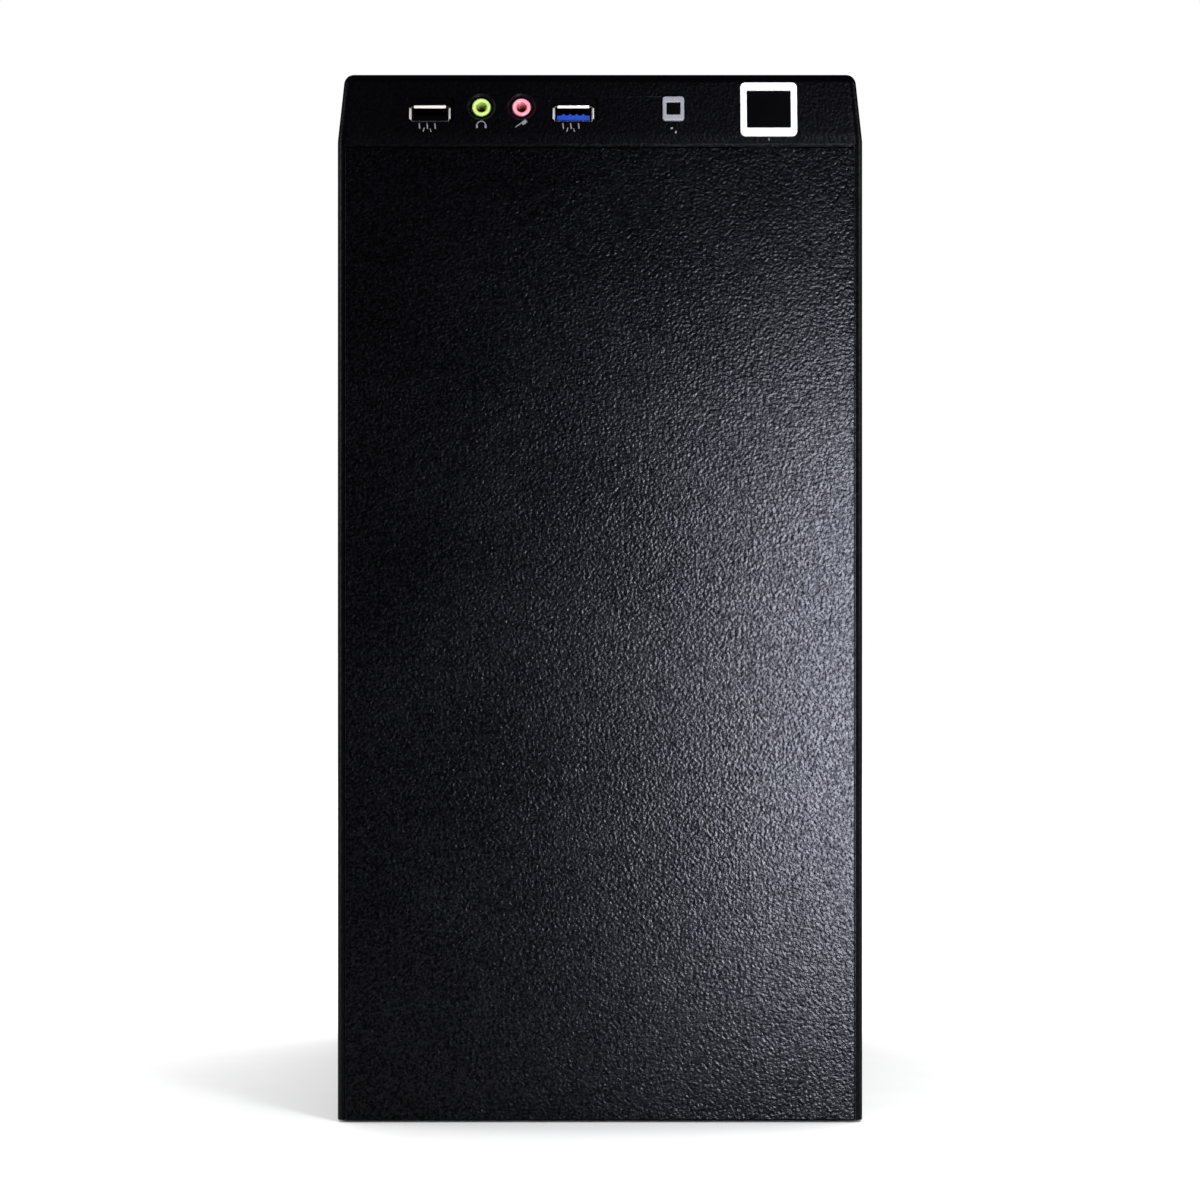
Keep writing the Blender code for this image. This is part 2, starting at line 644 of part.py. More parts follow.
def rear_ports():
    """The connectors on the board's rear edge and the plate that they look out through."""
    front = BOARD_X - 0.5 * MM
    end = REAR_Y + 1.5 * MM
    ports = [
        ("keyboard_mouse_ports", 13.5, 237, 14, 31, "steel"),
        ("video_ports", 12, 197, 16, 38, "steel"),
        ("rear_usb_ports", 15, 164, 15, 16, "steel"),
        ("network_port", 15, 140, 15, 18, "steel"),
        ("rear_audio_jacks", 17, 113, 30, 14, "black_plastic"),
    ]
    shield_size = Vector((BAY_HIGH[0] - BAY_LOW[0], 0, BAY_HIGH[1] - BAY_LOW[1]))
    middle = Vector(((BAY_LOW[0] + BAY_HIGH[0]) / 2, REAR_Y - 0.4 * MM, (BAY_LOW[1] + BAY_HIGH[1]) / 2))
    shield = box("io_shield", shield_size + Vector((-2 * GAP, 0.4 * MM, -2 * GAP)), middle)
    windows = []
    for name, depth, z, reach, height, material_name in ports:
        reach = reach * MM
        height = height * MM
        z = z * MM
        length = (depth + 5) * MM
        centre = Vector((front - reach / 2, end - length / 2, z))
        size = Vector((reach, length, height))
        item = box(name, size, centre)
        carve_port(item, name, centre, end)
        paint(item, material_name)
        windows.append((Vector((reach + 2 * GAP, 8 * MM, height + 2 * GAP)), Vector((centre.x, REAR_Y, z))))
    cut(shield, boxes("cutter_shield_windows", windows))
    return paint(shield, "steel")


def carve_port(item, name, centre, end):
    """Hollow the sockets out of one connector block, from its outer face."""
    depth = 9 * MM
    mouths = []
    if name == "rear_usb_ports":
        for z in (-4 * MM, 4 * MM):
            mouths.append((Vector((12.4 * MM, depth, 5 * MM)), Vector((centre.x, end, centre.z + z))))
    elif name == "network_port":
        mouths.append((Vector((8 * MM, depth, 12 * MM)), Vector((centre.x, end, centre.z))))
    elif name == "video_ports":
        mouths.append((Vector((5.2 * MM, depth, 14.4 * MM)), Vector((centre.x, end, centre.z + 10 * MM))))
        mouths.append((Vector((8 * MM, depth, 17 * MM)), Vector((centre.x, end, centre.z - 9.5 * MM))))
    elif name == "keyboard_mouse_ports":
        for number, z in enumerate((-7.6 * MM, 7.6 * MM)):
            at = (centre.x, end, centre.z + z)
            cut(item, cylinder("cutter_" + name + str(number), 5.2 * MM, depth, at, "Y", 20))
    else:
        for number, x in enumerate((-9.6 * MM, 0, 9.6 * MM)):
            at = (centre.x + x, end, centre.z)
            cut(item, cylinder("cutter_" + name + str(number), JACK_BORE, 2 * depth, at, "Y", 12))
    if mouths:
        cut(item, boxes("cutter_" + name, mouths))


def fan(frame_name, rotor_name, size, thick, at, turn, blade_count):
    """A square fan: its frame with a round duct and four arms, and a rotor whose origin is on its axis."""
    empty = bpy.data.objects.new(frame_name + "_axis", None)
    PARTS.objects.link(empty)
    empty.location = at
    empty.rotation_euler = turn
    duct = size / 2 - 2.2 * MM
    hub = size * 0.19
    arm_thick = 2.6 * MM
    arm_z = -thick / 2 + arm_thick / 2

    frame = box(frame_name, (size, size, thick), (0, 0, 0), empty)
    cut(frame, cylinder("cutter_" + frame_name + "_duct", duct, 2 * thick, (0, 0, 0), "Z", 32, empty))
    arms = []
    inner = hub * 0.6
    outer = duct + 1.2 * MM
    for direction in (-1, 1):
        middle = direction * (inner + outer) / 2
        arms.append((Vector((outer - inner, 3.4 * MM, arm_thick)), Vector((middle, 0, arm_z))))
        arms.append((Vector((3.4 * MM, outer - inner, arm_thick)), Vector((0, middle, arm_z))))
    join(frame, boxes("cutter_" + frame_name + "_arms", arms, (0, 0, 0), empty))
    boss_at = (0, 0, arm_z + 0.3 * MM)
    boss_thick = arm_thick + 0.6 * MM
    join(frame, cylinder("cutter_" + frame_name + "_boss", hub, boss_thick, boss_at, "Z", 24, empty))
    paint(frame, "black_plastic")

    rotor_depth = thick - arm_thick - 4 * MM
    rotor_low = -thick / 2 + arm_thick + 1.2 * MM
    rotor = cylinder(rotor_name, hub, rotor_depth, (0, 0, rotor_low + rotor_depth / 2), "Z", 24, empty)
    blades = bmesh.new()
    tip = duct - 1.2 * MM
    root = hub - 1.6 * MM
    pitch = math.radians(38)
    chord = 0.72 * rotor_depth / math.sin(pitch)
    for number in range(blade_count):
        spin = Matrix.Rotation(2 * math.pi * number / blade_count, 4, "Z")
        lean = Matrix.Rotation(pitch, 4, "X")
        slide = Matrix.Translation(((root + tip) / 2, 0, 0))
        shape = Matrix.Diagonal((tip - root, chord, 1.2 * MM, 1))
        bmesh.ops.create_cube(blades, size=1, matrix=spin @ slide @ lean @ shape)
    blade_name = "cutter_" + rotor_name + "_blades"
    join(rotor, add_object(blade_name, finish_mesh(blade_name, blades), rotor.location, empty))
    paint(rotor, "black_plastic")


def cpu_cooler():
    """The finned heat sink on the processor, with a fan on it."""
    y, z = CPU_AT
    base_x = BOARD_X - 7.5 * MM - GAP
    height = 30 * MM
    side = 78 * MM
    item = box("cpu_heatsink", (height, side, side), (base_x - height / 2, y, z))
    slots = []
    fin_pitch = 5 * MM
    for step in range(-7, 8):
        centre = Vector((base_x - 6 * MM - height / 2, y + step * fin_pitch, z))
        slots.append((Vector((height, 3.2 * MM, 2 * side)), centre))
    cut(item, boxes("cutter_heatsink_slots", slots))
    paint(item, "aluminium")
    thick = 15 * MM
    at = (base_x - height - GAP - thick / 2, y, z)
    fan("cpu_fan_frame", "cpu_fan_rotor", CPU_FAN_SIZE, thick, at, (0, -math.pi / 2, 0), 7)


def memory_modules():
    """Two memory modules standing in their sockets."""
    height = 27 * MM
    for number, y in enumerate((0, 10 * MM)):
        centre = (BOARD_X - 8 * MM - GAP - height / 2, y, 172 * MM)
        paint(box("memory_module_" + str(number + 1), (height, 3.4 * MM, 133 * MM), centre), "circuit_board")


def power_supply():
    """The power supply: its steel box, circuit board, fan, mains inlet and rocker switch."""
    low = PSU_LOW
    high = PSU_LOW + PSU_SIZE
    middle = (low + high) / 2 - Vector((0, PSU_FAN_SHIFT, 0))
    case = between("psu_case", low, high)
    wall = Vector((PSU_WALL, PSU_WALL, PSU_WALL))
    cut(case, between("cutter_psu_inside", low + wall, high - wall))
    fan_hole_at = (middle.x, middle.y, low.z)
    cut(case, cylinder("cutter_psu_fan_hole", PSU_FAN_SIZE / 2 - 3 * MM, 8 * MM, fan_hole_at, "Z", 32))
    holes = []
    for column in range(9):
        for row in range(8):
            x = -66 * MM + column * 11 * MM
            z = 270 * MM + row * 9 * MM
            holes.append((Vector((7, 6, 5.5)) * MM, Vector((x, high.y, z))))
    holes.append((Vector((27.6, 6, 20.2)) * MM, Vector((INLET_AT[0], high.y, INLET_AT[1]))))
    holes.append((Vector((13.6, 6, 19.6)) * MM, Vector((SWITCH_AT[0], high.y, SWITCH_AT[1]))))
    holes.append((Vector((26, 6, 16)) * MM, Vector((50 * MM, low.y, 300 * MM))))
    cut(case, boxes("cutter_psu_holes", holes))
    paint(case, "steel")

    fan_at = (middle.x, middle.y, low.z + PSU_WALL + GAP + FAN_THICK / 2)
    fan("psu_fan_frame", "psu_fan_rotor", PSU_FAN_SIZE, FAN_THICK, fan_at, (math.pi, 0, 0), 7)

    board_z = high.z - 5 * MM
    board = box("psu_circuit_board", (136 * MM, 100 * MM, 1.6 * MM), (middle.x, middle.y - 1 * MM, board_z))
    components = [
        ((-40, 60), (34, 34, 36)),
        ((10, 60), (20, 60, 30)),
        ((-45, 110), (24, 40, 34)),
        ((45, 70), (30, 20, 24)),
    ]
    parts = []
    for (x, y), size in components:
        size = Vector(size) * MM
        parts.append((size, Vector((x * MM, y * MM, board_z - size.z / 2))))
    join(board, boxes("cutter_psu_components", parts))
    paint(board, "circuit_board")

    x, z = INLET_AT
    inlet = rounded_box("psu_inlet", Vector((26.8, 19, 19.4)) * MM, 3 * MM, (x, PSU_BACK - 8 * MM, z))
    flange_size = Vector((31, 1.8, 23.6)) * MM
    flange_at = (x, PSU_BACK + GAP + flange_size.y / 2, z)
    join(inlet, rounded_box("cutter_inlet_flange", flange_size, 3 * MM, flange_at))
    mouth = rounded_box("cutter_inlet_mouth", Vector((24, 30, 16.4)) * MM, 2.4 * MM, (x, PSU_BACK, z))
    cut(inlet, mouth)
    paint(inlet, "black_plastic")

    x, z = SWITCH_AT
    housing = box("psu_switch_housing", Vector((13, 17, 19)) * MM, (x, PSU_BACK - 7 * MM, z))
    flange_size = Vector((15.4, 1.6, 21.6)) * MM
    join(housing, box("cutter_switch_flange", flange_size, (x, PSU_BACK + GAP + flange_size.y / 2, z)))
    cut(housing, box("cutter_switch_mouth", Vector((11.4, 22, 17.6)) * MM, (x, PSU_BACK, z)))
    paint(housing, "black_plastic")
    rocker()


def rocker():
    """The rocker of the mains switch, whose two faces meet at a shallow angle. Its origin is on its pivot."""
    x, z = SWITCH_AT
    half = 7.8 * MM
    name = "psu_switch_rocker"
    shape = bmesh.new()
    bmesh.ops.create_cube(shape, size=1, matrix=Matrix.Diagonal((10.6 * MM, 6 * MM, 2 * half, 1)))
    everything = shape.verts[:] + shape.edges[:] + shape.faces[:]
    bmesh.ops.bisect_plane(shape, geom=everything, plane_co=(0, 0, 0), plane_no=(0, 0, 1))
    for vertex in shape.verts:
        if vertex.co.y > 0 and abs(vertex.co.z) < GAP:
            vertex.co.y -= half * math.tan(-ROCKER_REST)
    item = add_object(name, finish_mesh(name, shape), (x, PSU_BACK - 0.5 * MM, z))
    item.rotation_euler = (ROCKER_REST, 0, 0)
    return paint(item, "black_plastic")


def drive_bay():
    """The drive cage on the floor, open at both ends, and the hard drive in its upper bay."""
    cage = between("drive_cage", CAGE_LOW, CAGE_HIGH)
    inside_low = CAGE_LOW + Vector((CAGE_WALL, -10 * MM, CAGE_WALL))
    inside_high = CAGE_HIGH + Vector((-CAGE_WALL, 10 * MM, -CAGE_WALL))
    cut(cage, between("cutter_cage_inside", inside_low, inside_high))
    paint(cage, "steel")
    x = (CAGE_LOW.x + CAGE_HIGH.x) / 2
    drive = box("hard_drive", DRIVE_SIZE, (x, CAGE_LOW.y + DRIVE_SIZE.y / 2 - 5 * MM, CAGE_HIGH.z - 18 * MM))
    bevel = drive.modifiers.new("round", "BEVEL")
    bevel.width = 1.5 * MM
    bevel.segments = 1
    paint(drive, "aluminium")


def cables():
    """The two bundles of leads inside the case, each from its outlet to its header."""
    supply = [(50, 21, 300), (50, -10, 299), (50, -48, 282), (50, -70, 240), (50, -74, 200), (50, -72, 177)]
    paint(tube("main_power_cable", supply, 4.2 * MM), "black_plastic")
    front = [(48, -149, 326), (48, -135, 324), (50, -112, 300), (52, -98, 200), (52, -92, 100), (52, -84, 74),
             (53, -70, 70)]
    paint(tube("front_io_cable", front, 2.2 * MM), "black_plastic")


def build():
    """Make every part of the tower."""
    frame = strip_frame()
    front_bezel(frame)
    front_panel()
    usb_socket("usb2", USB2_AT, "black_plastic", frame)
    usb_socket("usb3", USB3_AT, "blue_plastic", frame)
    audio_jack("headphone_jack", HEADPHONE_AT, "green_plastic", frame)
    audio_jack("microphone_jack", MICROPHONE_AT, "pink_plastic", frame)
    push_button("power_button", POWER_AT, POWER_SIZE, POWER_INSIDE, POWER_ROUND, 6 * MM,
                ("black_plastic", "white_plastic"), frame)
    push_button("reset_button", RESET_AT, RESET_SIZE, RESET_INSIDE, RESET_ROUND, 3 * MM,
                ("black_plastic", "silver_plastic"), frame)
    front_electronics(frame)

    chassis_base()
    chassis_top()
    chassis_front()
    chassis_rear()
    motherboard_tray()
    for side_name, side in (("left", -1), ("right", 1)):
        side_panel(side_name + "_side_panel", side)
        for height_name, z in zip(("bottom", "top"), SCREW_HEIGHTS):
            thumbscrew("thumbscrew_" + side_name + "_" + height_name, side * SCREW_X, z)
        for end_name, y in (("front", FOOT_FRONT_Y), ("back", FOOT_BACK_Y)):
            foot("foot_" + end_name + "_" + side_name, side * FOOT_X, y)
    for number in range(SLOT_COUNT):
        slot_cover(number)

    motherboard()
    rear_ports()
    cpu_cooler()
    memory_modules()
    rear_at = (REAR_FAN_AT[0], REAR_INSIDE - GAP - FAN_THICK / 2, REAR_FAN_AT[1])
    fan("rear_fan_frame", "rear_fan_rotor", REAR_FAN_SIZE, FAN_THICK, rear_at, (math.pi / 2, 0, 0), 7)
    power_supply()
    drive_bay()
    cables()


remove_old_objects()
PARTS = new_collection("desktop_computer_tower")
CUTTERS = new_collection("cutters")
build()
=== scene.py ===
"""Looks of the desktop computer tower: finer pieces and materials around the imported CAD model.

The front faces -Y and +X is on the viewer's right. Sizes are in metres, in the CAD model's frame.
"""

import json
import math

import bmesh
import bpy
from mathutils import Matrix, Vector


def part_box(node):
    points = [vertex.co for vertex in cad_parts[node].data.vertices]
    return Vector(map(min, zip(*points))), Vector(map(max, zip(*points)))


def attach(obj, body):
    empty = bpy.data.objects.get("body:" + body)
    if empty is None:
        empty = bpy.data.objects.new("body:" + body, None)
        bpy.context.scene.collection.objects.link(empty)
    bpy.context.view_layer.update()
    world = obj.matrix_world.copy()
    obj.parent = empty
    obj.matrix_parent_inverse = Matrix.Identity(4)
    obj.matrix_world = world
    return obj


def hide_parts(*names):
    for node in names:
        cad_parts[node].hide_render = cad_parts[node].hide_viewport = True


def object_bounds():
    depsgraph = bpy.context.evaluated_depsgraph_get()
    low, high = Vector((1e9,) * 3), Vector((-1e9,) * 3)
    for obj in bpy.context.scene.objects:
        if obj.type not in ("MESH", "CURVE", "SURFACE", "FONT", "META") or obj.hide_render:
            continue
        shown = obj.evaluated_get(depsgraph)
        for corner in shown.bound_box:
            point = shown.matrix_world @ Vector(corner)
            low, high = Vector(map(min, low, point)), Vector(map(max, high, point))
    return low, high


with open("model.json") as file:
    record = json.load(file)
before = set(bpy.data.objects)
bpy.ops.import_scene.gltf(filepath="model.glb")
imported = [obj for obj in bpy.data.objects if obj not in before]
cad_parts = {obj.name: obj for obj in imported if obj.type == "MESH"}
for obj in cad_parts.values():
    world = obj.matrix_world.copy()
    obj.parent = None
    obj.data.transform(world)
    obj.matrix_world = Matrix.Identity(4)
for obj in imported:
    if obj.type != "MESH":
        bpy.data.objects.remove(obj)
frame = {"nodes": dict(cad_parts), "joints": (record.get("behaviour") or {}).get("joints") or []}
CAD_LOW, CAD_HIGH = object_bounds()

MM = 0.001
GAP = 0.3 * MM
CASE = "case"


def mm(*sizes):
    """Sizes in millimetres as a vector in metres."""
    return Vector(sizes) * MM


def in_mm(points):
    """Pairs of millimetres as pairs of metres."""
    return [(a * MM, b * MM) for a, b in points]


def joint(name):
    """What the CAD model says of one of its joints."""
    return next(j for j in frame["joints"] if j["name"] == name)


# Front, as the CAD model has it.
HALF_WIDTH = CAD_HIGH.x
HEIGHT = CAD_HIGH.z
FRONT_Y = CAD_LOW.y
BEZEL_LOW, BEZEL_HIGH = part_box("front_bezel")
PANEL_LOW, PANEL_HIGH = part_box("front_panel")
BEZEL_Y = BEZEL_LOW.y
BEZEL_BOTTOM = BEZEL_LOW.z
BEZEL_BACK = FRONT_Y + 25 * MM
BEZEL_WALL = 2.4 * MM
BEZEL_ROUND = 3 * MM
FOLD_SOFTNESS = 3 * MM
FOLD_Z = 327 * MM
POCKET_TOP = 326.1 * MM
STRIP_TOP_HALF = 85.4 * MM
PRESS_AXIS = Vector(joint("power_button_press")["axis"])
STRIP_TILT = math.atan2(-PRESS_AXIS.z, PRESS_AXIS.y)
STRIP = Matrix.Translation((0, BEZEL_Y, FOLD_Z)) @ Matrix.Rotation(-STRIP_TILT, 4, "X")

# Places on the strip, as (X, height up the slope from the fold).
USB2_AT = mm(-56.8, 10.2)
HEADPHONE_AT = mm(-39.6, 12.2)
MICROPHONE_AT = mm(-26.2, 12.2)
USB3_AT = mm(-8.9, 10.2)
RESET_AT = mm(24.5, 11.4)
POWER_AT = mm(56.3, 11.2)


# ---------------------------------------------------------------- materials


def new_material(name):
    """An empty node material with its Principled shader."""
    material = bpy.data.materials.new(name)
    material.use_nodes = True
    tree = material.node_tree
    return material, tree, tree.nodes["Principled BSDF"]


def noise(tree, scale, detail=2.0, rough=0.5, stretch=(1, 1, 1)):
    """A noise pattern in the object's own metres."""
    place = tree.nodes.new("ShaderNodeTexCoord")
    mapping = tree.nodes.new("ShaderNodeMapping")
    mapping.inputs["Scale"].default_value = stretch
    texture = tree.nodes.new("ShaderNodeTexNoise")
    texture.inputs["Scale"].default_value = scale
    texture.inputs["Detail"].default_value = detail
    texture.inputs["Roughness"].default_value = rough
    tree.links.new(place.outputs["Object"], mapping.inputs["Vector"])
    tree.links.new(mapping.outputs["Vector"], texture.inputs["Vector"])
    return texture.outputs["Fac"]


def cells(tree, scale, feature="F1"):
    """A cell pattern in the object's own metres."""
    place = tree.nodes.new("ShaderNodeTexCoord")
    texture = tree.nodes.new("ShaderNodeTexVoronoi")
    texture.feature = feature
    texture.inputs["Scale"].default_value = scale
    tree.links.new(place.outputs["Object"], texture.inputs["Vector"])
    return texture


def spread(tree, source, low, high, start=0.3, end=0.7):
    """A pattern stretched between two values."""
    node = tree.nodes.new("ShaderNodeMapRange")
    node.inputs["From Min"].default_value = start
    node.inputs["From Max"].default_value = end
    node.inputs["To Min"].default_value = low
    node.inputs["To Max"].default_value = high
    tree.links.new(source, node.inputs["Value"])
    return node.outputs["Result"]


def grey(level):
    """A colour without a hue."""
    return level, level, level


def blend_colours(tree, factor, first, second):
    """A colour that runs from one to another with a pattern."""
    node = tree.nodes.new("ShaderNodeMix")
    node.data_type = "RGBA"
    node.inputs["A"].default_value = (*first, 1)
    node.inputs["B"].default_value = (*second, 1)
    tree.links.new(factor, node.inputs["Factor"])
    return node.outputs["Result"]


def add_up(tree, first, second, weight):
    """One pattern plus a share of another."""
    node = tree.nodes.new("ShaderNodeMath")
    node.operation = "MULTIPLY_ADD"
    node.inputs[1].default_value = weight
    tree.links.new(second, node.inputs[0])
    tree.links.new(first, node.inputs[2])
    return node.outputs["Value"]


def colour_by(tree, shader, pattern, first, second):
    """Let the base colour run from one colour to another with a pattern."""
    tree.links.new(blend_colours(tree, pattern, first, second), shader.inputs["Base Color"])


def gloss_by(tree, shader, pattern, low, high, start=0.3, end=0.7):
    """Let the roughness run between two values with a pattern."""
    tree.links.new(spread(tree, pattern, low, high, start, end), shader.inputs["Roughness"])


def relief(tree, shader, height, depth):
    """Raise the surface by a pattern."""
    bump = tree.nodes.new("ShaderNodeBump")
    bump.inputs["Distance"].default_value = depth
    bump.inputs["Strength"].default_value = 1.0
    tree.links.new(height, bump.inputs["Height"])
    tree.links.new(bump.outputs["Normal"], shader.inputs["Normal"])


def plastic(name, colour, rough, grain=600, depth=0.02, specular=0.5, shift=0.25):
    """Moulded plastic with a fine grain, its depth in millimetres, uneven gloss and colour."""
    material, tree, shader = new_material(name)
    fine = noise(tree, grain, 3, 0.6)
    broad = noise(tree, 45)
    darker = [c * (1 - shift) for c in colour]
    colour_by(tree, shader, spread(tree, broad, 0, 1), darker, colour)
    gloss_by(tree, shader, broad, rough - 0.04, rough + 0.05)
    shader.inputs["Specular IOR Level"].default_value = specular
    relief(tree, shader, fine, depth * MM)
    return material


def textured_plastic(name, low, high, depth, dull):
    """The front's spark-eroded black plastic: a fine grain, dull specks and cloudy gloss."""
    material, tree, shader = new_material(name)
    grain = noise(tree, 950, 1.5)
    pits = noise(tree, 1500)
    clouds = noise(tree, 22, 3, 0.55)
    specks = noise(tree, 1150, 1)
    colour_by(tree, shader, grain, (0.0002, 0.0002, 0.0008), (0.0005, 0.0005, 0.0016))
    gloss_by(tree, shader, add_up(tree, clouds, grain, 0.6), low, high, 0.5, 1.1)
    # Specks that count as metal of the nearly black colour hardly reflect, so they darken the highlight.
    tree.links.new(spread(tree, specks, dull, 0.0, 0.35, 0.65), shader.inputs["Metallic"])
    shader.inputs["Specular IOR Level"].default_value = 0.34
    shader.inputs["Specular Tint"].default_value = (0.86, 0.875, 1.0, 1)
    relief(tree, shader, add_up(tree, grain, pits, 0.1), depth * MM)
    return material


def metal(name, colour, rough, streak=(1, 1, 1), scale=260, depth=0.004, uneven=0.08, metallic=1.0):
    """Plated or drawn metal with fine marks."""
    material, tree, shader = new_material(name)
    marks = noise(tree, scale, 4, 0.6, streak)
    broad = noise(tree, 30)
    darker = [c * 0.82 for c in colour]
    colour_by(tree, shader, spread(tree, broad, 0, 1), darker, colour)
    gloss_by(tree, shader, marks, rough - uneven, rough + uneven)
    shader.inputs["Metallic"].default_value = metallic
    relief(tree, shader, marks, depth * MM)
    return material


def galvanised():
    """Zinc-coated sheet with its flat crystals."""
    material, tree, shader = new_material("galvanised_steel")
    crystals = cells(tree, 170)
    fine = noise(tree, 900, 3, 0.6)
    tone = tree.nodes.new("ShaderNodeSeparateColor")
    tree.links.new(crystals.outputs["Color"], tone.inputs["Color"])
    colour_by(tree, shader, tone.outputs["Red"], (0.47, 0.48, 0.49), (0.6, 0.61, 0.62))
    gloss_by(tree, shader, tone.outputs["Green"], 0.34, 0.48, 0, 1)
    shader.inputs["Metallic"].default_value = 0.8
    relief(tree, shader, fine, 0.006 * MM)
    return material


def powder_coat():
    """Black paint baked on steel, with a fine orange-peel skin."""
    material, tree, shader = new_material("black_powder_coat")
    peel = noise(tree, 420, 3, 0.55)
    broad = noise(tree, 30, 3, 0.6)
    colour_by(tree, shader, broad, (0.0085, 0.0085, 0.0105), (0.011, 0.011, 0.0135))
    gloss_by(tree, shader, add_up(tree, broad, peel, 0.5), 0.44, 0.48, 0.5, 1.0)
    relief(tree, shader, peel, 0.05 * MM)
    return material


def rubber():
    """Soft black rubber with a dull, slightly dusty skin."""
    material, tree, shader = new_material("foot_rubber")
    fine = noise(tree, 700, 3, 0.6)
    dust = noise(tree, 90, 3, 0.6)
    colour_by(tree, shader, spread(tree, dust, 0, 1, 0.45, 0.75), grey(0.012), grey(0.03))
    gloss_by(tree, shader, dust, 0.7, 0.85)
    relief(tree, shader, fine, 0.03 * MM)
    return material


def circuit_board():
    """Green solder mask over a maze of straight traces."""
    material, tree, shader = new_material("circuit_board")
    maze = cells(tree, 260, "DISTANCE_TO_EDGE")
    traces = spread(tree, maze.outputs["Distance"], 1, 0, 0.02, 0.08)
    colour_by(tree, shader, traces, (0.004, 0.03, 0.014), (0.012, 0.075, 0.035))
    gloss_by(tree, shader, noise(tree, 400), 0.25, 0.4)
    relief(tree, shader, traces, 0.03 * MM)
    return material


def make_materials():
    """Every material of the tower, by a short name."""
    even = (1, 1, 1)
    return {
        "panel": textured_plastic("textured_black_plastic", 0.2, 0.26, 0.15, 0.75),
        "bezel": textured_plastic("bezel_black_plastic", 0.27, 0.34, 0.12, 0.4),
        # The raised marks are black moulding like the strip around them; their grey colour is a painted
        # highlight standing for the glints their edges catch.
        "mark": plastic("raised_mark_painted_glint_grey", (0.2, 0.2, 0.22), 0.32, 700, 0.01, 0.6),
        "cap": plastic("button_black_plastic", (0.0006, 0.0006, 0.001), 0.34, 900, 0.012, 0.1),
        "white": plastic("white_rim_plastic", (0.86, 0.87, 0.9), 0.22, 300, 0.004, 0.5, 0.03),
        "silver": plastic("silver_rim_plastic", (0.22, 0.225, 0.26), 0.3, 900, 0.006, 0.5, 0.1),
        "shell": metal("plated_connector_steel", (0.86, 0.84, 0.8), 0.28, even, 500, 0.0015, 0.05),
        "lip": metal("bright_connector_lips", (0.8, 0.76, 0.72), 0.4, even, 500, 0.002, 0.05, 0.4),
        "gold": metal("gold_contacts", (0.95, 0.68, 0.3), 0.25),
        "black_part": plastic("black_part_plastic", (0.012, 0.012, 0.013), 0.42, 700, 0.012),
        "blue": plastic("blue_tongue_plastic", (0.002, 0.05, 0.42), 0.32, 700, 0.008, 0.5, 0.15),
        "green": plastic("green_jack_plastic", (0.46, 0.6, 0.16), 0.3, 500, 0.006, 0.5, 0.08),
        "pink": plastic("pink_jack_plastic", (0.78, 0.26, 0.33), 0.3, 500, 0.006, 0.5, 0.08),
        "violet": plastic("violet_port_plastic", (0.16, 0.08, 0.3), 0.35, 500, 0.006),
        "teal": plastic("green_port_plastic", (0.06, 0.32, 0.2), 0.35, 500, 0.006),
        "sky": plastic("light_blue_jack_plastic", (0.1, 0.34, 0.6), 0.3, 500, 0.006),
        "paint": powder_coat(),
        "zinc": galvanised(),
        "bright": metal("bright_shield_steel", (0.72, 0.73, 0.74), 0.27, (1, 1, 5), 160, 0.001, 0.05),
        "nickel": metal("nickel_screw_steel", (0.66, 0.66, 0.67), 0.2, even, 700),
        "alloy": metal("extruded_aluminium", (0.76, 0.77, 0.78), 0.3, (1, 1, 14), 200, 0.006),
        "rubber": rubber(),
        "board": circuit_board(),
        "sleeve": plastic("cable_sleeve", (0.01, 0.01, 0.011), 0.6, 500, 0.12),
    }


# ---------------------------------------------------------------- mesh tools

WELD = 0.01 * MM
FINE_WELD = 0.001 * MM
SHARP = 35
Z_TO_FRONT = Matrix.Rotation(math.pi / 2, 4, "X")
Z_TO_BACK = Matrix.Rotation(-math.pi / 2, 4, "X")
Z_TO_LEFT = Matrix.Rotation(-math.pi / 2, 4, "Y")
UPSIDE_DOWN = Matrix.Rotation(math.pi, 4, "X")


def new_object(name, data):
    """An object of some data, linked to the scene."""
    item = bpy.data.objects.new(name, data)
    bpy.context.scene.collection.objects.link(item)
    return item


def evaluated(item):
    """The mesh of an object with its modifiers applied, in world space. The object goes."""
    graph = bpy.context.evaluated_depsgraph_get()
    mesh = bpy.data.meshes.new_from_object(item.evaluated_get(graph))
    mesh.transform(item.matrix_world)
    bpy.data.objects.remove(item, do_unlink=True)
    return mesh


def mesh_of(shape, matrix=None):
    """A mesh from a bmesh, moved to its place, with its faces turned outward."""
    if matrix is not None:
        bmesh.ops.transform(shape, matrix=matrix, verts=shape.verts)
    bmesh.ops.recalc_face_normals(shape, faces=shape.faces)
    mesh = bpy.data.meshes.new("piece")
    shape.to_mesh(mesh)
    shape.free()
    return mesh


def merged(meshes):
    """Several meshes as one."""
    shape = bmesh.new()
    for mesh in meshes:
        shape.from_mesh(mesh)
        bpy.data.meshes.remove(mesh)
    return mesh_of(shape)


def smooth(mesh, angle):
    """Shade a mesh smooth except across its sharp edges, with its large flat faces kept flat."""
    mesh.shade_smooth()
    mesh.set_sharp_from_angle(angle=math.radians(angle))
    item = new_object("shading", mesh)
    weigh = item.modifiers.new("weigh", "WEIGHTED_NORMAL")
    weigh.keep_sharp = True
    weigh.weight = 80
    result = evaluated(item)
    bpy.data.meshes.remove(mesh)
    return result


def bevelled(mesh, width, segments, angle):
    """A mesh with its sharp edges rounded."""
    item = new_object("bevelled", mesh)
    bevel = item.modifiers.new("edges", "BEVEL")
    bevel.width = width
    bevel.segments = segments
    bevel.limit_method = "ANGLE"
    bevel.angle_limit = math.radians(angle)
    bevel.use_clamp_overlap = True
    return evaluated(item)


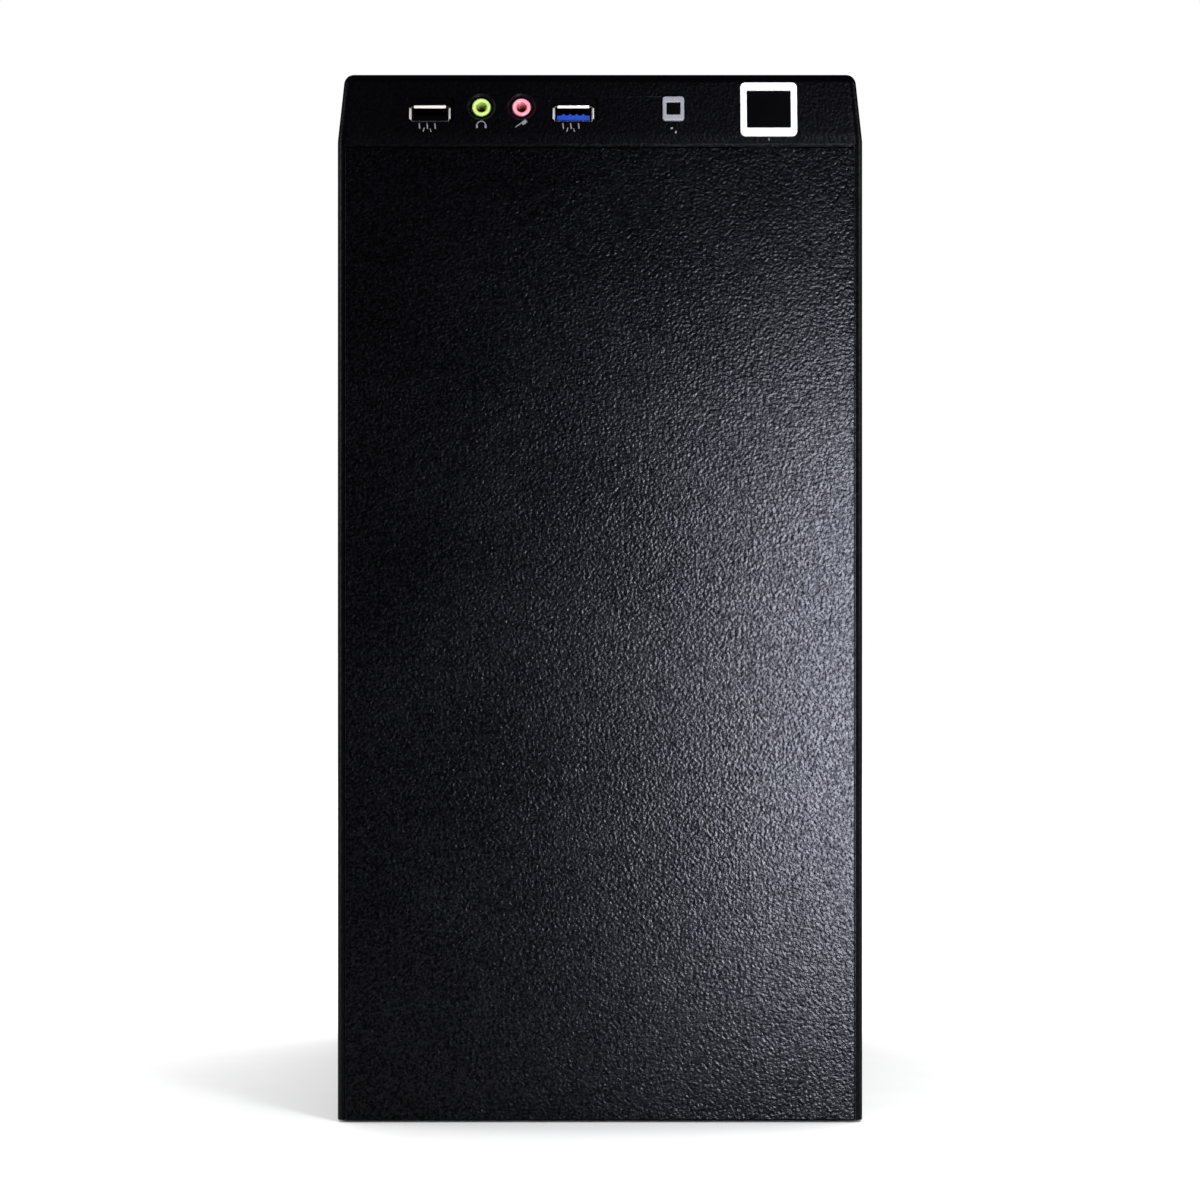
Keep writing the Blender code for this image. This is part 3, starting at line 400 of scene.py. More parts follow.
def cut_all(item, cutters):
    """Cut an object with meshes, one after another, and return its final mesh."""
    tools = []
    for mesh in cutters:
        tool = new_object("cutter", mesh)
        modifier = item.modifiers.new("cut", "BOOLEAN")
        modifier.operation = "DIFFERENCE"
        modifier.solver = "EXACT"
        modifier.object = tool
        tools.append(tool)
    bpy.context.view_layer.update()
    mesh = evaluated(item)
    for tool in tools:
        bpy.data.objects.remove(tool, do_unlink=True)
    return mesh


def add_piece(name, mesh, material, body=CASE, replaces=(), angle=SHARP):
    """Shade a finished mesh and put it in the scene as a piece of the tower."""
    item = new_object(name, smooth(mesh, angle))
    item.data.name = name
    item.data.materials.clear()
    item.data.materials.append(MATERIALS[material])
    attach(item, body)
    if replaces:
        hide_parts(*replaces)


def add_parts(name, meshes, material, body=CASE):
    """Join several meshes into one piece."""
    add_piece(name, merged(meshes), material, body)


def add_fine(node, meshes, material, body=CASE, angle=SHARP):
    """Join several meshes into one piece that stands for a CAD node."""
    add_piece(node + "_fine", merged(meshes), material, body, (node,), angle)


def refine(node, material, width, body=CASE, segments=2):
    """A CAD node's own shape with its flat faces joined up and its sharp edges rounded."""
    shape = bmesh.new()
    shape.from_mesh(frame["nodes"][node].data)
    bmesh.ops.remove_doubles(shape, verts=shape.verts, dist=WELD)
    bmesh.ops.dissolve_limit(shape, angle_limit=math.radians(1), verts=shape.verts, edges=shape.edges)
    mesh = mesh_of(shape)
    name = node + "_fine"
    if width > 0:
        mesh = bevelled(mesh, width, segments, 40)
        name += ".001"
    add_piece(name, mesh, material, body, (node,))


def middle_of(node):
    """The middle of a CAD node's box."""
    low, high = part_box(node)
    return (low + high) / 2


def round_edges(shape, edges, radius, segments):
    """Round some edges of a bmesh."""
    bmesh.ops.bevel(shape, geom=edges, offset=radius, segments=segments, profile=0.5, affect="EDGES")


def soft_box(size, centre, radius, segments=2, matrix=None):
    """A box with all its edges rounded."""
    shape = bmesh.new()
    bmesh.ops.create_cube(shape, size=1, matrix=Matrix.Translation(centre) @ Matrix.Diagonal((*size, 1)))
    round_edges(shape, shape.edges[:], radius, segments)
    return mesh_of(shape, matrix)


def soft_between(low, high, radius, segments=2):
    """A box between two corners with all its edges rounded."""
    low = Vector(low)
    high = Vector(high)
    return soft_box(high - low, (low + high) / 2, radius, segments)


def rectangle(x, y, width, height, radius=0.0, steps=4):
    """The outline of a rectangle with round corners, anticlockwise."""
    corners = ((1, -1, -90), (1, 1, 0), (-1, 1, 90), (-1, -1, 180))
    if radius <= 0:
        return [(x + side * width / 2, y + rise * height / 2) for side, rise, start in corners]
    points = []
    for side, rise, start in corners:
        centre_x = x + side * (width / 2 - radius)
        centre_y = y + rise * (height / 2 - radius)
        points += arc(centre_x, centre_y, radius, start, start + 90, steps)
    return points


def arc(x, y, radius, start, end, steps):
    """Points along an arc, from one angle in degrees to another."""
    angles = [math.radians(start + (end - start) * step / steps) for step in range(steps + 1)]
    return [(x + radius * math.cos(a), y + radius * math.sin(a)) for a in angles]


def ring(x, y, radius, steps=32, turn=0.0):
    """The outline of a circle or a regular polygon, anticlockwise."""
    angles = [turn + 2 * math.pi * step / steps for step in range(steps)]
    return [(x + radius * math.cos(a), y + radius * math.sin(a)) for a in angles]


PLANES = {
    "X": Matrix(((0, 0, 1, 0), (1, 0, 0, 0), (0, 1, 0, 0), (0, 0, 0, 1))),
    "Y": Matrix(((1, 0, 0, 0), (0, 0, -1, 0), (0, 1, 0, 0), (0, 0, 0, 1))),
    "Z": Matrix.Identity(4),
}


def sheet(outline, holes, axis, low, high, edge=0.15 * MM, rounds=2, matrix=None):
    """A flat plate with rounded edges and holes, between two places along an axis.

    Its outline is given in (Y, Z) for an X plate, (X, Z) for a Y plate and (X, Y) for a Z plate.
    """
    curve = bpy.data.curves.new("sheet", "CURVE")
    curve.dimensions = "2D"
    curve.fill_mode = "BOTH"
    curve.extrude = (high - low) / 2 - edge
    curve.bevel_depth = edge
    curve.bevel_resolution = rounds
    curve.offset = -edge
    for points in [outline] + [list(reversed(hole)) for hole in holes]:
        spline = curve.splines.new("POLY")
        spline.points.add(len(points) - 1)
        for point, (x, y) in zip(spline.points, points):
            point.co = (x, y, 0, 1)
        spline.use_cyclic_u = True
    item = new_object("sheet", curve)
    middle = (low + high) / 2
    place = [middle if a == axis else 0 for a in "XYZ"]
    item.matrix_world = Matrix.Translation(place) @ PLANES[axis]
    bpy.context.view_layer.update()
    mesh = evaluated(item)
    bpy.data.curves.remove(curve)
    shape = bmesh.new()
    shape.from_mesh(mesh)
    bpy.data.meshes.remove(mesh)
    bmesh.ops.remove_doubles(shape, verts=shape.verts, dist=WELD)
    return mesh_of(shape, matrix)


def lathe(profile, steps, matrix, radius_at=None):
    """A solid of revolution about its own Z, from (radius, height) points.

    The points end on the axis or close a loop. radius_at, where there is one, makes the solid uneven:
    it gives the radius at a step and a point's number.
    """
    shape = bmesh.new()
    rows = []
    for step in range(steps):
        angle = 2 * math.pi * step / steps
        row = []
        for number, (radius, z) in enumerate(profile):
            if radius_at:
                radius = radius_at(step, number)
            row.append(shape.verts.new((radius * math.cos(angle), radius * math.sin(angle), z)))
        rows.append(row)
    for first, second in zip(rows, rows[1:] + rows[:1]):
        for a, b, c, d in zip(first, second, second[1:], first[1:]):
            shape.faces.new((a, b, c, d))
    bmesh.ops.remove_doubles(shape, verts=shape.verts, dist=FINE_WELD)
    return mesh_of(shape, matrix)


def wire_ring(centre, radius, thick):
    """A flat ring of round wire."""
    curve = bpy.data.curves.new("wire", "CURVE")
    curve.dimensions = "3D"
    curve.bevel_depth = thick
    curve.bevel_resolution = 2
    spline = curve.splines.new("POLY")
    points = ring(centre.x, centre.y, radius, 48)
    spline.points.add(len(points) - 1)
    for point, (x, y) in zip(spline.points, points):
        point.co = (x, y, centre.z, 1)
    spline.use_cyclic_u = True
    mesh = evaluated(new_object("wire", curve))
    bpy.data.curves.remove(curve)
    return mesh


def on_strip(place):
    """The matrix of a place on the strip: its Y goes into the case and its Z up the slope."""
    x, up = place
    return STRIP @ Matrix.Translation((x, 0, up))


# ---------------------------------------------------------------- front


def is_bezel_corner(edge, middle_y):
    """Whether an edge of the bezel is one of its front uprights or one of the three edges of its top."""
    a = edge.verts[0].co
    b = edge.verts[1].co
    at_front = a.y < middle_y and b.y < middle_y
    at_top = a.z > HEIGHT - GAP and b.z > HEIGHT - GAP
    upright = at_front and abs(a.z - b.z) > 12 * MM
    runs_back = abs(a.y - b.y) > 8 * MM and abs(a.x - b.x) < GAP
    return upright or (at_top and (at_front or runs_back))


def lean_at(height):
    """How far back the front stands at a height: upright below the fold, then a soft bend and the slope."""
    past_start = height - (FOLD_Z - FOLD_SOFTNESS)
    if past_start <= 0:
        return 0.0
    if past_start < 2 * FOLD_SOFTNESS:
        return past_start ** 2 / (4 * FOLD_SOFTNESS) * math.tan(STRIP_TILT)
    return (height - FOLD_Z) * math.tan(STRIP_TILT)


def bezel_body():
    """The bezel before it is cut: a rounded shell, open at the back, whose top leans back and narrows."""
    shape = bmesh.new()
    size = (2 * HALF_WIDTH, BEZEL_BACK - BEZEL_Y, HEIGHT - BEZEL_BOTTOM)
    centre = Vector((0, (BEZEL_Y + BEZEL_BACK) / 2, (BEZEL_BOTTOM + HEIGHT) / 2))
    bmesh.ops.create_cube(shape, size=1, matrix=Matrix.Translation(centre) @ Matrix.Diagonal((*size, 1)))
    back = [f for f in shape.faces if f.normal.y > 0.9]
    bmesh.ops.delete(shape, geom=back, context="FACES_ONLY")
    corners = [e for e in shape.edges if is_bezel_corner(e, centre.y)]
    round_edges(shape, corners, BEZEL_ROUND, 8)
    bend_steps = 4
    for step in range(-bend_steps, bend_steps + 1):
        height = FOLD_Z + FOLD_SOFTNESS * step / bend_steps
        everything = shape.verts[:] + shape.edges[:] + shape.faces[:]
        bmesh.ops.bisect_plane(shape, geom=everything, plane_co=(0, 0, height), plane_no=(0, 0, 1))
    for vertex in shape.verts:
        rise = max(vertex.co.z - FOLD_Z, 0)
        vertex.co.x *= 1 - rise / (HEIGHT - FOLD_Z) * (1 - STRIP_TOP_HALF / HALF_WIDTH)
        if vertex.co.y < centre.y:
            vertex.co.y += lean_at(vertex.co.z)
    item = new_object("front_bezel_shell", mesh_of(shape))
    shell = item.modifiers.new("wall", "SOLIDIFY")
    shell.thickness = BEZEL_WALL
    shell.offset = -1
    shell.use_even_offset = True
    return item


def strip_cutter(place, outline, depth):
    """A prism that goes into the strip from outside it down to a depth."""
    return sheet(outline, [], "Y", -3 * MM, depth, 0.0, 0, on_strip(place))


def front_bezel():
    """The moulded front: its pocket for the panel, its notches below and its holes on the strip."""
    pocket_half = PANEL_HIGH.x + GAP
    pocket_low = (-pocket_half, FRONT_Y - 5 * MM, -5 * MM)
    pocket_high = (pocket_half, PANEL_HIGH.y + GAP, POCKET_TOP)
    hole_depth = 6 * MM
    cutters = [soft_between(pocket_low, pocket_high, 0.02 * MM, 1)]
    for step in range(-3, 4):
        cutters.append(soft_box(mm(14, 9, 8), (20 * MM * step, BEZEL_Y + 14 * MM, 0), 1.5 * MM, 3))
    for place in (USB2_AT, USB3_AT):
        recess = rectangle(0, 0.9 * MM, 16.4 * MM, 9 * MM, 1.3 * MM, 6)
        cutters.append(strip_cutter(place, recess, 1.5 * MM))
        cutters.append(strip_cutter(place, rectangle(0, 0, 14 * MM, 6.6 * MM, 0.6 * MM), hole_depth))
    dish = in_mm([(0, 0.4), (5.1, 0.4), (4, -0.7), (0, -0.7)])
    for place in (HEADPHONE_AT, MICROPHONE_AT):
        cutters.append(lathe(dish, 48, on_strip(place) @ Z_TO_FRONT))
        cutters.append(strip_cutter(place, ring(0, 0, 3.4 * MM, 48), hole_depth))
    cutters.append(strip_cutter(RESET_AT, rectangle(0, 0, 7.9 * MM, 9.2 * MM, 1.4 * MM, 6), hole_depth))
    cutters.append(strip_cutter(POWER_AT, rectangle(0, 0, 19.6 * MM, 19.6 * MM, 2.1 * MM, 8), hole_depth))
    mesh = bevelled(cut_all(bezel_body(), cutters), 0.25 * MM, 3, 50)
    add_piece("front_bezel_fine", mesh, "bezel", replaces=("front_bezel",))

    clips = []
    size = Vector((8 * MM, BEZEL_HIGH.y - BEZEL_Y - BEZEL_WALL, 3 * MM))
    for x in (-60 * MM, 60 * MM):
        for z in (40 * MM, 300 * MM):
            clips.append(soft_box(size, (x, BEZEL_HIGH.y - size.y / 2, z), 0.3 * MM))
    add_parts("bezel_clips", clips, "bezel")


def usb_socket(name, place, tongue_material, peaks):
    """A USB socket: folded steel shell with flared lips, tongue and its contacts."""
    matrix = on_strip(place)
    mouth_y = 1.5 * MM
    end_y = 14.9 * MM
    outer = rectangle(0, 0, 12.9 * MM, 5.5 * MM, 0.6 * MM)
    inner = rectangle(0, 0, 12.3 * MM, 4.9 * MM, 0.35 * MM)
    cover = rectangle(0, 0, 12.5 * MM, 5.1 * MM, 0.4 * MM)
    parts = [sheet(outer, [inner], "Y", mouth_y, end_y, 0.08 * MM, 1, matrix)]
    parts.append(sheet(cover, [], "Y", end_y - 0.5 * MM, end_y, 0.08 * MM, 1, matrix))
    add_fine(name + "_shell", parts, "shell")
    # A thin black sheet covers the inside of the steel shell: painted shade, standing for the shade deep in
    # the socket.
    shade_sheet_hole = rectangle(0, 0, 12.1 * MM, 4.7 * MM, 0.3 * MM)
    painted_shade_sheet = sheet(inner, [shade_sheet_hole], "Y", 1.9 * MM, 14.3 * MM, 0.03 * MM, 1, matrix)
    add_piece(name + "_liner", painted_shade_sheet, "cap")

    lips = []
    for side in (-1, 1):
        lean = Matrix.Rotation(side * math.radians(22), 4, "Z")
        at = matrix @ Matrix.Translation((side * 6.5 * MM, 1.0 * MM, -0.2 * MM)) @ lean
        lips.append(soft_box(mm(0.35, 1.4, 3.9), (0, 0, 0), 0.12 * MM, 2, at))
    lean = Matrix.Rotation(-math.radians(48), 4, "X")
    at = matrix @ Matrix.Translation((0, 0.95 * MM, 2.3 * MM)) @ lean
    lips.append(soft_box(mm(10.6, 1.0, 0.3), (0, 0, 0), 0.12 * MM, 2, at))
    add_parts(name + "_lips", lips, "lip")

    tongue_at = matrix @ Matrix.Translation((0, 0, -1.15 * MM))
    tongue_width = 11.1 * MM
    parts = [soft_box((tongue_width, 11.4 * MM, 1.9 * MM), (0, 7.9 * MM, 0), 0.25 * MM, 2, tongue_at)]
    for number in range(peaks):
        x = (number - (peaks - 1) / 2) * tongue_width / (peaks + 1)
        tooth = Matrix.Translation((x, 2.9 * MM, 0.85 * MM)) @ Matrix.Rotation(math.pi / 4, 4, "Y")
        parts.append(soft_box(mm(1.15, 1.2, 1.15), (0, 0, 0), 0.15 * MM, 2, tongue_at @ tooth))
    add_fine(name + "_tongue", parts, tongue_material)
    contacts = []
    for number in range(4):
        at = mm((number - 1.5) * 2.5, 9.6, 1.0)
        contacts.append(soft_box(mm(1.0, 7.4, 0.16), at, 0.06 * MM, 1, tongue_at))
    add_parts(name + "_contacts", contacts, "gold")


def audio_jack(name, place, material):
    """An audio jack: a rounded coloured collar, its deep bore and the spring contacts in it."""
    matrix = on_strip(place) @ Z_TO_FRONT
    collar = 3.05 * MM
    bore = 1.8 * MM
    profile = [(0.0, -13 * MM), (bore, -13 * MM), (bore, -0.7 * MM)]
    profile += arc(bore + 0.55 * MM, -0.6 * MM, 0.55 * MM, 180, 90, 5)
    profile += arc(collar - 0.5 * MM, -0.5 * MM, 0.5 * MM, 90, 0, 5)
    profile += [(collar, -3.2 * MM)] + in_mm([(4.1, -3.2), (4.1, -15.4), (0, -15.4)])
    add_fine(name, [lathe(profile, 48, matrix)], material)
    sleeve = in_mm([(1.45, -5), (1.75, -5), (1.75, -9), (1.45, -9), (1.45, -5)])
    add_piece(name + "_contact", lathe(sleeve, 32, matrix), "gold")


def push_button(name, place, size, inside, corner, rim_material, stem):
    """A button: its raised rim, the dark cap set into it, and the block and stem behind."""
    matrix = on_strip(place)
    outer = rectangle(0, 0, size.x, size.y, corner, 8)
    hole = rectangle(0, 0, inside.x, inside.y, 0.35 * MM)
    rim = sheet(outer, [hole], "Y", -0.8 * MM, 1.4 * MM, 0.35 * MM, 4, matrix)
    add_fine(name + "_rim", [rim], rim_material, name, 50)
    face = rectangle(0, 0, inside.x - 0.25 * MM, inside.y - 0.25 * MM, 0.3 * MM)
    block = (size.x - 0.6 * MM, 3.3 * MM, size.y - 0.6 * MM)
    parts = [sheet(face, [], "Y", -0.35 * MM, 4 * MM, 0.2 * MM, 3, matrix)]
    parts.append(soft_box(block, (0, 3.35 * MM, 0), 0.2 * MM, 2, matrix))
    parts.append(soft_box((stem, 7 * MM, stem), (0, 7.3 * MM, 0), 0.3 * MM, 2, matrix))
    add_fine(name, parts, "cap", name, 50)


def strip_marks():
    """Raised signs under the sockets and buttons: bars, a headphone, a microphone and ticks."""
    parts = []
    low = -0.22 * MM
    high = 0.5 * MM

    def bar(place, x, up, width, height, turn=0.0):
        """A bar at a place on the strip, in millimetres from it."""
        at = on_strip(place) @ Matrix.Translation((x * MM, (low + high) / 2, up * MM))
        size = (width * MM, high - low, height * MM)
        parts.append(soft_box(size, (0, 0, 0), 0.08 * MM, 2, at @ Matrix.Rotation(turn, 4, "Y")))

    thick = 0.32
    for place in (USB2_AT, USB3_AT):
        for x in (-3.4, -0.8, 1.8):
            bar(place, x, -4.9, 0.42, 2, -0.12)
        bar(place, -2.0, -6.2, thick, 1.5, 0.25)
        bar(place, 0.3, -6.4, thick, 1.2, -0.25)
    for step in range(9):
        angle = math.radians(20 + 140 * step / 8)
        x = 1.5 * math.cos(angle)
        bar(HEADPHONE_AT, x, -6.9 + 1.7 * math.sin(angle), 0.62, thick, math.pi / 2 - angle)
    bar(HEADPHONE_AT, -1.45, -7.0, 0.6, 1.3)
    bar(HEADPHONE_AT, 1.45, -7.0, 0.6, 1.3)
    bar(MICROPHONE_AT, -0.9, -6.5, thick, 2.8, 0.9)
    bar(MICROPHONE_AT, 0.9, -5.6, 1.2, 1.9, 0.9)
    bar(RESET_AT, -0.6, -6.9, 0.9, 0.5, -0.5)
    bar(RESET_AT, 0.8, -8.3, 0.5, 0.9, 0.3)
    bar(POWER_AT, 0, -10.6, thick, 0.9)
    # The marks' grey colour is a painted highlight for the glints on black relief.
    add_parts("strip_marks", parts, "mark")


def build_front():
    """Everything on the front."""
    front_bezel()
    panel = soft_between(PANEL_LOW, PANEL_HIGH, 0.5 * MM, 4)
    add_fine("front_panel", [panel], "panel")
    usb_socket("usb2", USB2_AT, "cap", 0)
    usb_socket("usb3", USB3_AT, "blue", 4)
    audio_jack("headphone_jack", HEADPHONE_AT, "green")
    audio_jack("microphone_jack", MICROPHONE_AT, "pink")
    push_button("power_button", POWER_AT, mm(18.9, 18.9), mm(14.7, 13.4), 1.7 * MM,
                "white", 6 * MM)
    push_button("reset_button", RESET_AT, mm(7.2, 8.5), mm(4.6, 4.4), 1 * MM,
                "silver", 3 * MM)
    strip_marks()


# ---------------------------------------------------------------- steel case

SHEET = 0.8 * MM
REAR_LOW, REAR_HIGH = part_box("chassis_rear")
SCREW_X = 81.3 * MM
SCREW_HEIGHTS = (45 * MM, 305 * MM)
SCREW_HOLE = 2.3 * MM
BAY_LOW = mm(24.3, 97)
BAY_HIGH = mm(68.7, 255.7)
SLOT_HEIGHTS = [(22.5 + 20.32 * number) * MM for number in range(4)]
REAR_FAN_AT = mm(-30, 200)
FAN_BOLT = 41.25 * MM


def side_panel(name, side):
    """A side cover: its skin, with air slots on the left one, its two lips and its rear flange."""
    low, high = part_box(name)
    centre = middle_of(name)
    size = high - low
    skin_x = low.x if side < 0 else high.x - SHEET
    slots = []
    if side < 0:
        for middle_z, count in ((188 * MM, 9), (55 * MM, 6)):
            for step in range(count):
                z = middle_z + (step - (count - 1) / 2) * 8 * MM
                slots.append(rectangle(70 * MM, z, 70 * MM, 4 * MM, 1.95 * MM, 6))
    skin = rectangle(centre.y, centre.z, size.y, size.z, 0.8 * MM)
    parts = [sheet(skin, slots, "X", skin_x, skin_x + SHEET, 0.3 * MM, 3)]
    outer = abs(skin_x + SHEET / 2)
    lip_start, lip_end = sorted((side * (abs(skin_x) - 8 * MM), side * outer))
    lip_reach = 140 * MM
    for z in (REAR_LOW.z, REAR_HIGH.z - SHEET):
        lip_low = (lip_start, -lip_reach, z)
        parts.append(soft_between(lip_low, (lip_end, lip_reach, z + SHEET), 0.25 * MM))
    inner = min(abs(low.x), abs(high.x))
    flange = rectangle(side * (inner + outer) / 2, centre.z, outer - inner, size.z, 0.8 * MM)
    holes = [ring(side * SCREW_X, z, SCREW_HOLE) for z in SCREW_HEIGHTS]
    parts.append(sheet(flange, holes, "Y", high.y - SHEET, high.y, 0.3 * MM, 3))
    add_fine(name, parts, "paint", name)


def thumbscrew(name):
    """A knurled screw with a cross recess in its head."""
    low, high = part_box(name)
    centre = middle_of(name)
    head = (high.x - low.x) / 2
    length = high.y - low.y
    shank = 1.7 * MM
    grip_end = -5.6 * MM
    under = -7.5 * MM
    profile = [(0.0, 0.0), (head - 1.4 * MM, 0.0)]
    profile += arc(head - 1.0 * MM, -0.6 * MM, 0.6 * MM, 90, 0, 4)
    profile += [(head, -1.2 * MM), (head, grip_end + 0.5 * MM), (head - 0.5 * MM, grip_end)]
    profile += [(3.6 * MM, grip_end - 0.2 * MM), (3.6 * MM, under), (shank, under)]
    threads = 9
    pitch = (length + under - 0.8 * MM) / threads
    for turn in range(threads):
        z = under - turn * pitch
        profile += [(shank, z - 0.1 * pitch), (shank - 0.22 * MM, z - 0.55 * pitch), (shank, z - pitch)]
    profile += [(shank - 0.5 * MM, -length), (0.0, -length)]

    def knurled(step, number):
        """The radius with a groove at two of every four steps, along the grip."""
        radius, z = profile[number]
        on_grip = radius > head - 0.05 * MM and grip_end < z < -1 * MM
        return radius - 0.22 * MM if on_grip and step % 4 in (1, 2) else radius

    place = Matrix.Translation((centre.x, high.y, centre.z)) @ Z_TO_BACK
    ridges = 30
    item = new_object(name, lathe(profile, ridges * 4, place, knurled))
    slots = []
    for turn in (0.4, 0.4 + math.pi / 2):
        spin = place @ Matrix.Rotation(turn, 4, "Z")
        slots.append(soft_box(mm(5.2, 0.9, 2.4), (0, 0, 0), 0.1 * MM, 1, spin))
    add_piece(name + "_fine", cut_all(item, slots), "nickel", name, (name,), 30)


def foot(name):
    """A rubber foot with a stepped rim, a ring groove and a recess for its screw."""
    low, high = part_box(name)
    centre = middle_of(name)
    wide = (high.x - low.x) / 2
    profile = [(0.0, high.z), (wide - 0.3 * MM, high.z), (wide, high.z - 0.3 * MM)]
    steps = in_mm([(0.4, 4.6), (1.0, 4.2), (1.5, 1.0)])
    groove = in_mm([(3.4, 0), (3.8, 0.6), (4.4, 0.6), (4.8, 0)])
    profile += [(wide - inward, z) for inward, z in steps]
    profile += arc(wide - 2.3 * MM, 0.8 * MM, 0.8 * MM, 0, -90, 4)
    profile += [(wide - inward, z) for inward, z in groove]
    profile += in_mm([(4.2, 0), (3.8, 0.4), (3.8, 4), (0, 4)])
    add_fine(name, [lathe(profile, 48, Matrix.Translation((centre.x, centre.y, 0)))], "rubber")


def screw_head(at, radius):
    """A domed screw head on the rear wall with a cross recess pressed into it."""
    profile = [(0.0, -0.6 * MM), (radius, -0.6 * MM), (radius, 0.35 * MM)]
    for degrees in (20, 40, 60):
        angle = math.radians(degrees)
        profile.append((radius * math.cos(angle), 0.35 * MM + 0.9 * MM * math.sin(angle)))
    recess = [(radius * 0.4, 1.15 * MM), (radius * 0.32, 0.7 * MM), (0.0, 0.55 * MM)]
    recess_start = len(profile)
    profile += recess

    def crossed(step, number):
        """The radius, drawn in between the arms of the recess."""
        in_arm = step % 8 in (0, 1, 7)
        return profile[number][0] * (1.0 if number < recess_start or in_arm else 0.35)

    return lathe(profile, 32, Matrix.Translation(at) @ Z_TO_BACK, crossed)


def rear_wall():
    """The galvanised back wall with its windows, slots, fan grille and screw holes, and its screws."""
    holes = [rectangle(-2.5 * MM, 301.5 * MM, 142 * MM, 78 * MM, 3 * MM)]
    bay_middle = (BAY_LOW + BAY_HIGH) / 2
    holes.append(rectangle(*bay_middle, *(BAY_HIGH - BAY_LOW), 1.5 * MM))
    for z in SLOT_HEIGHTS:
        holes.append(rectangle(13 * MM, z, 94 * MM, 13.6 * MM, 1.2 * MM))
    grille = 43 * MM
    spine = 1.5 * MM
    for step in range(-5, 6):
        rise = step * 7.5 * MM
        reach = math.sqrt(grille ** 2 - rise ** 2)
        for side in (-1, 1):
            x = REAR_FAN_AT.x + side * (reach + spine) / 2
            holes.append(rectangle(x, REAR_FAN_AT.y + rise, reach - spine, 5 * MM, 2.4 * MM, 6))
    bolts = [REAR_FAN_AT + Vector((x, z)) * FAN_BOLT for x in (-1, 1) for z in (-1, 1)]
    for side, pair in ((-1, bolts[:2]), (1, bolts[2:])):
        holes += [ring(side * SCREW_X, z, SCREW_HOLE) for z in SCREW_HEIGHTS]
        holes += [ring(bolt.x, bolt.y, 2.2 * MM, 24) for bolt in pair]
    size = REAR_HIGH - REAR_LOW
    outline = rectangle(0, middle_of("chassis_rear").z, size.x, size.z, 1 * MM)
    add_fine("chassis_rear", [sheet(outline, holes, "Y", REAR_LOW.y, REAR_HIGH.y)], "zinc")
    screws = [screw_head((bolt.x, REAR_HIGH.y, bolt.y), 2.7 * MM) for bolt in bolts]
    screws += [screw_head((-39 * MM, REAR_HIGH.y, z), 3.2 * MM) for z in SLOT_HEIGHTS]
    add_parts("rear_screws", screws, "nickel")


def slot_cover(name):
    """A blank plate over an expansion slot, with its bent tab and air holes."""
    low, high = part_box(name)
    z = middle_of(name).z
    width = high.x - low.x - SHEET
    outline = rectangle(low.x + SHEET + width / 2, z, width, high.z - low.z, 1 * MM)
    holes = []
    for column in range(12):
        for rise in (-2.6 * MM, 2.6 * MM):
            x = (-24 + column * 7) * MM
            holes.append(rectangle(x, z + rise, 5 * MM, 2.6 * MM, 1.25 * MM, 5))
    parts = [sheet(outline, holes, "Y", high.y - SHEET, high.y, 0.12 * MM)]
    parts.append(soft_between(low, (low.x + 1.2 * MM, high.y, high.z), 0.2 * MM))
    add_fine(name, parts, "zinc")


def roof_rivets():
    """Domed rivets along the roof's edges."""
    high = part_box("chassis_top")[1]
    wide = 2.2 * MM
    tall = 0.8 * MM
    profile = [(0.0, -0.4 * MM), (wide, -0.4 * MM), (wide, 0.0)]
    for degrees in (25, 50, 72):
        angle = math.radians(degrees)
        profile.append((wide * math.cos(angle), tall * math.sin(angle)))
    profile.append((0.0, tall))
    places = [(x * MM, y * MM) for x in (-76.5, 76.5) for y in (-125, -30, 65, 150)]
    places += [(x * MM, high.y - 5 * MM) for x in (-66, 0, 66)]
    rivets = [lathe(profile, 24, Matrix.Translation((x, y, high.z))) for x, y in places]
    add_parts("roof_rivets", rivets, "paint")


# ---------------------------------------------------------------- rear connectors

MOUTHS_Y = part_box("rear_usb_ports")[1].y
BLOCKS = ("keyboard_mouse_ports", "video_ports", "rear_usb_ports", "network_port", "rear_audio_jacks")


def hollow_block(name, cutters, material="shell"):
    """A connector block with its mouths cut in."""
    item = new_object(name, soft_between(*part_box(name), 0.4 * MM))
    add_piece(name + "_fine", cut_all(item, cutters), material, CASE, (name,))


def block_middle(name):
    """The X and Z of a connector block's middle."""
    middle = middle_of(name)
    return middle.x, middle.z


def mouth(outline, depth):
    """A cutter for a socket's mouth in a connector block."""
    return sheet(outline, [], "Y", MOUTHS_Y - depth, MOUTHS_Y + 3 * MM, 0.0, 0)


def in_mouth(outline, holes, back, front):
    """A plate in a socket's mouth, between two depths in millimetres."""
    return sheet(outline, holes, "Y", MOUTHS_Y - back * MM, MOUTHS_Y - front * MM)


def bar_in_mouth(x, z, width, height, back, front, radius=0.2 * MM, segments=2):
    """A bar in a socket's mouth, with its size and depths in millimetres."""
    low = (x - width / 2 * MM, MOUTHS_Y - back * MM, z - height / 2 * MM)
    high = (x + width / 2 * MM, MOUTHS_Y - front * MM, z + height / 2 * MM)
    return soft_between(low, high, radius, segments)


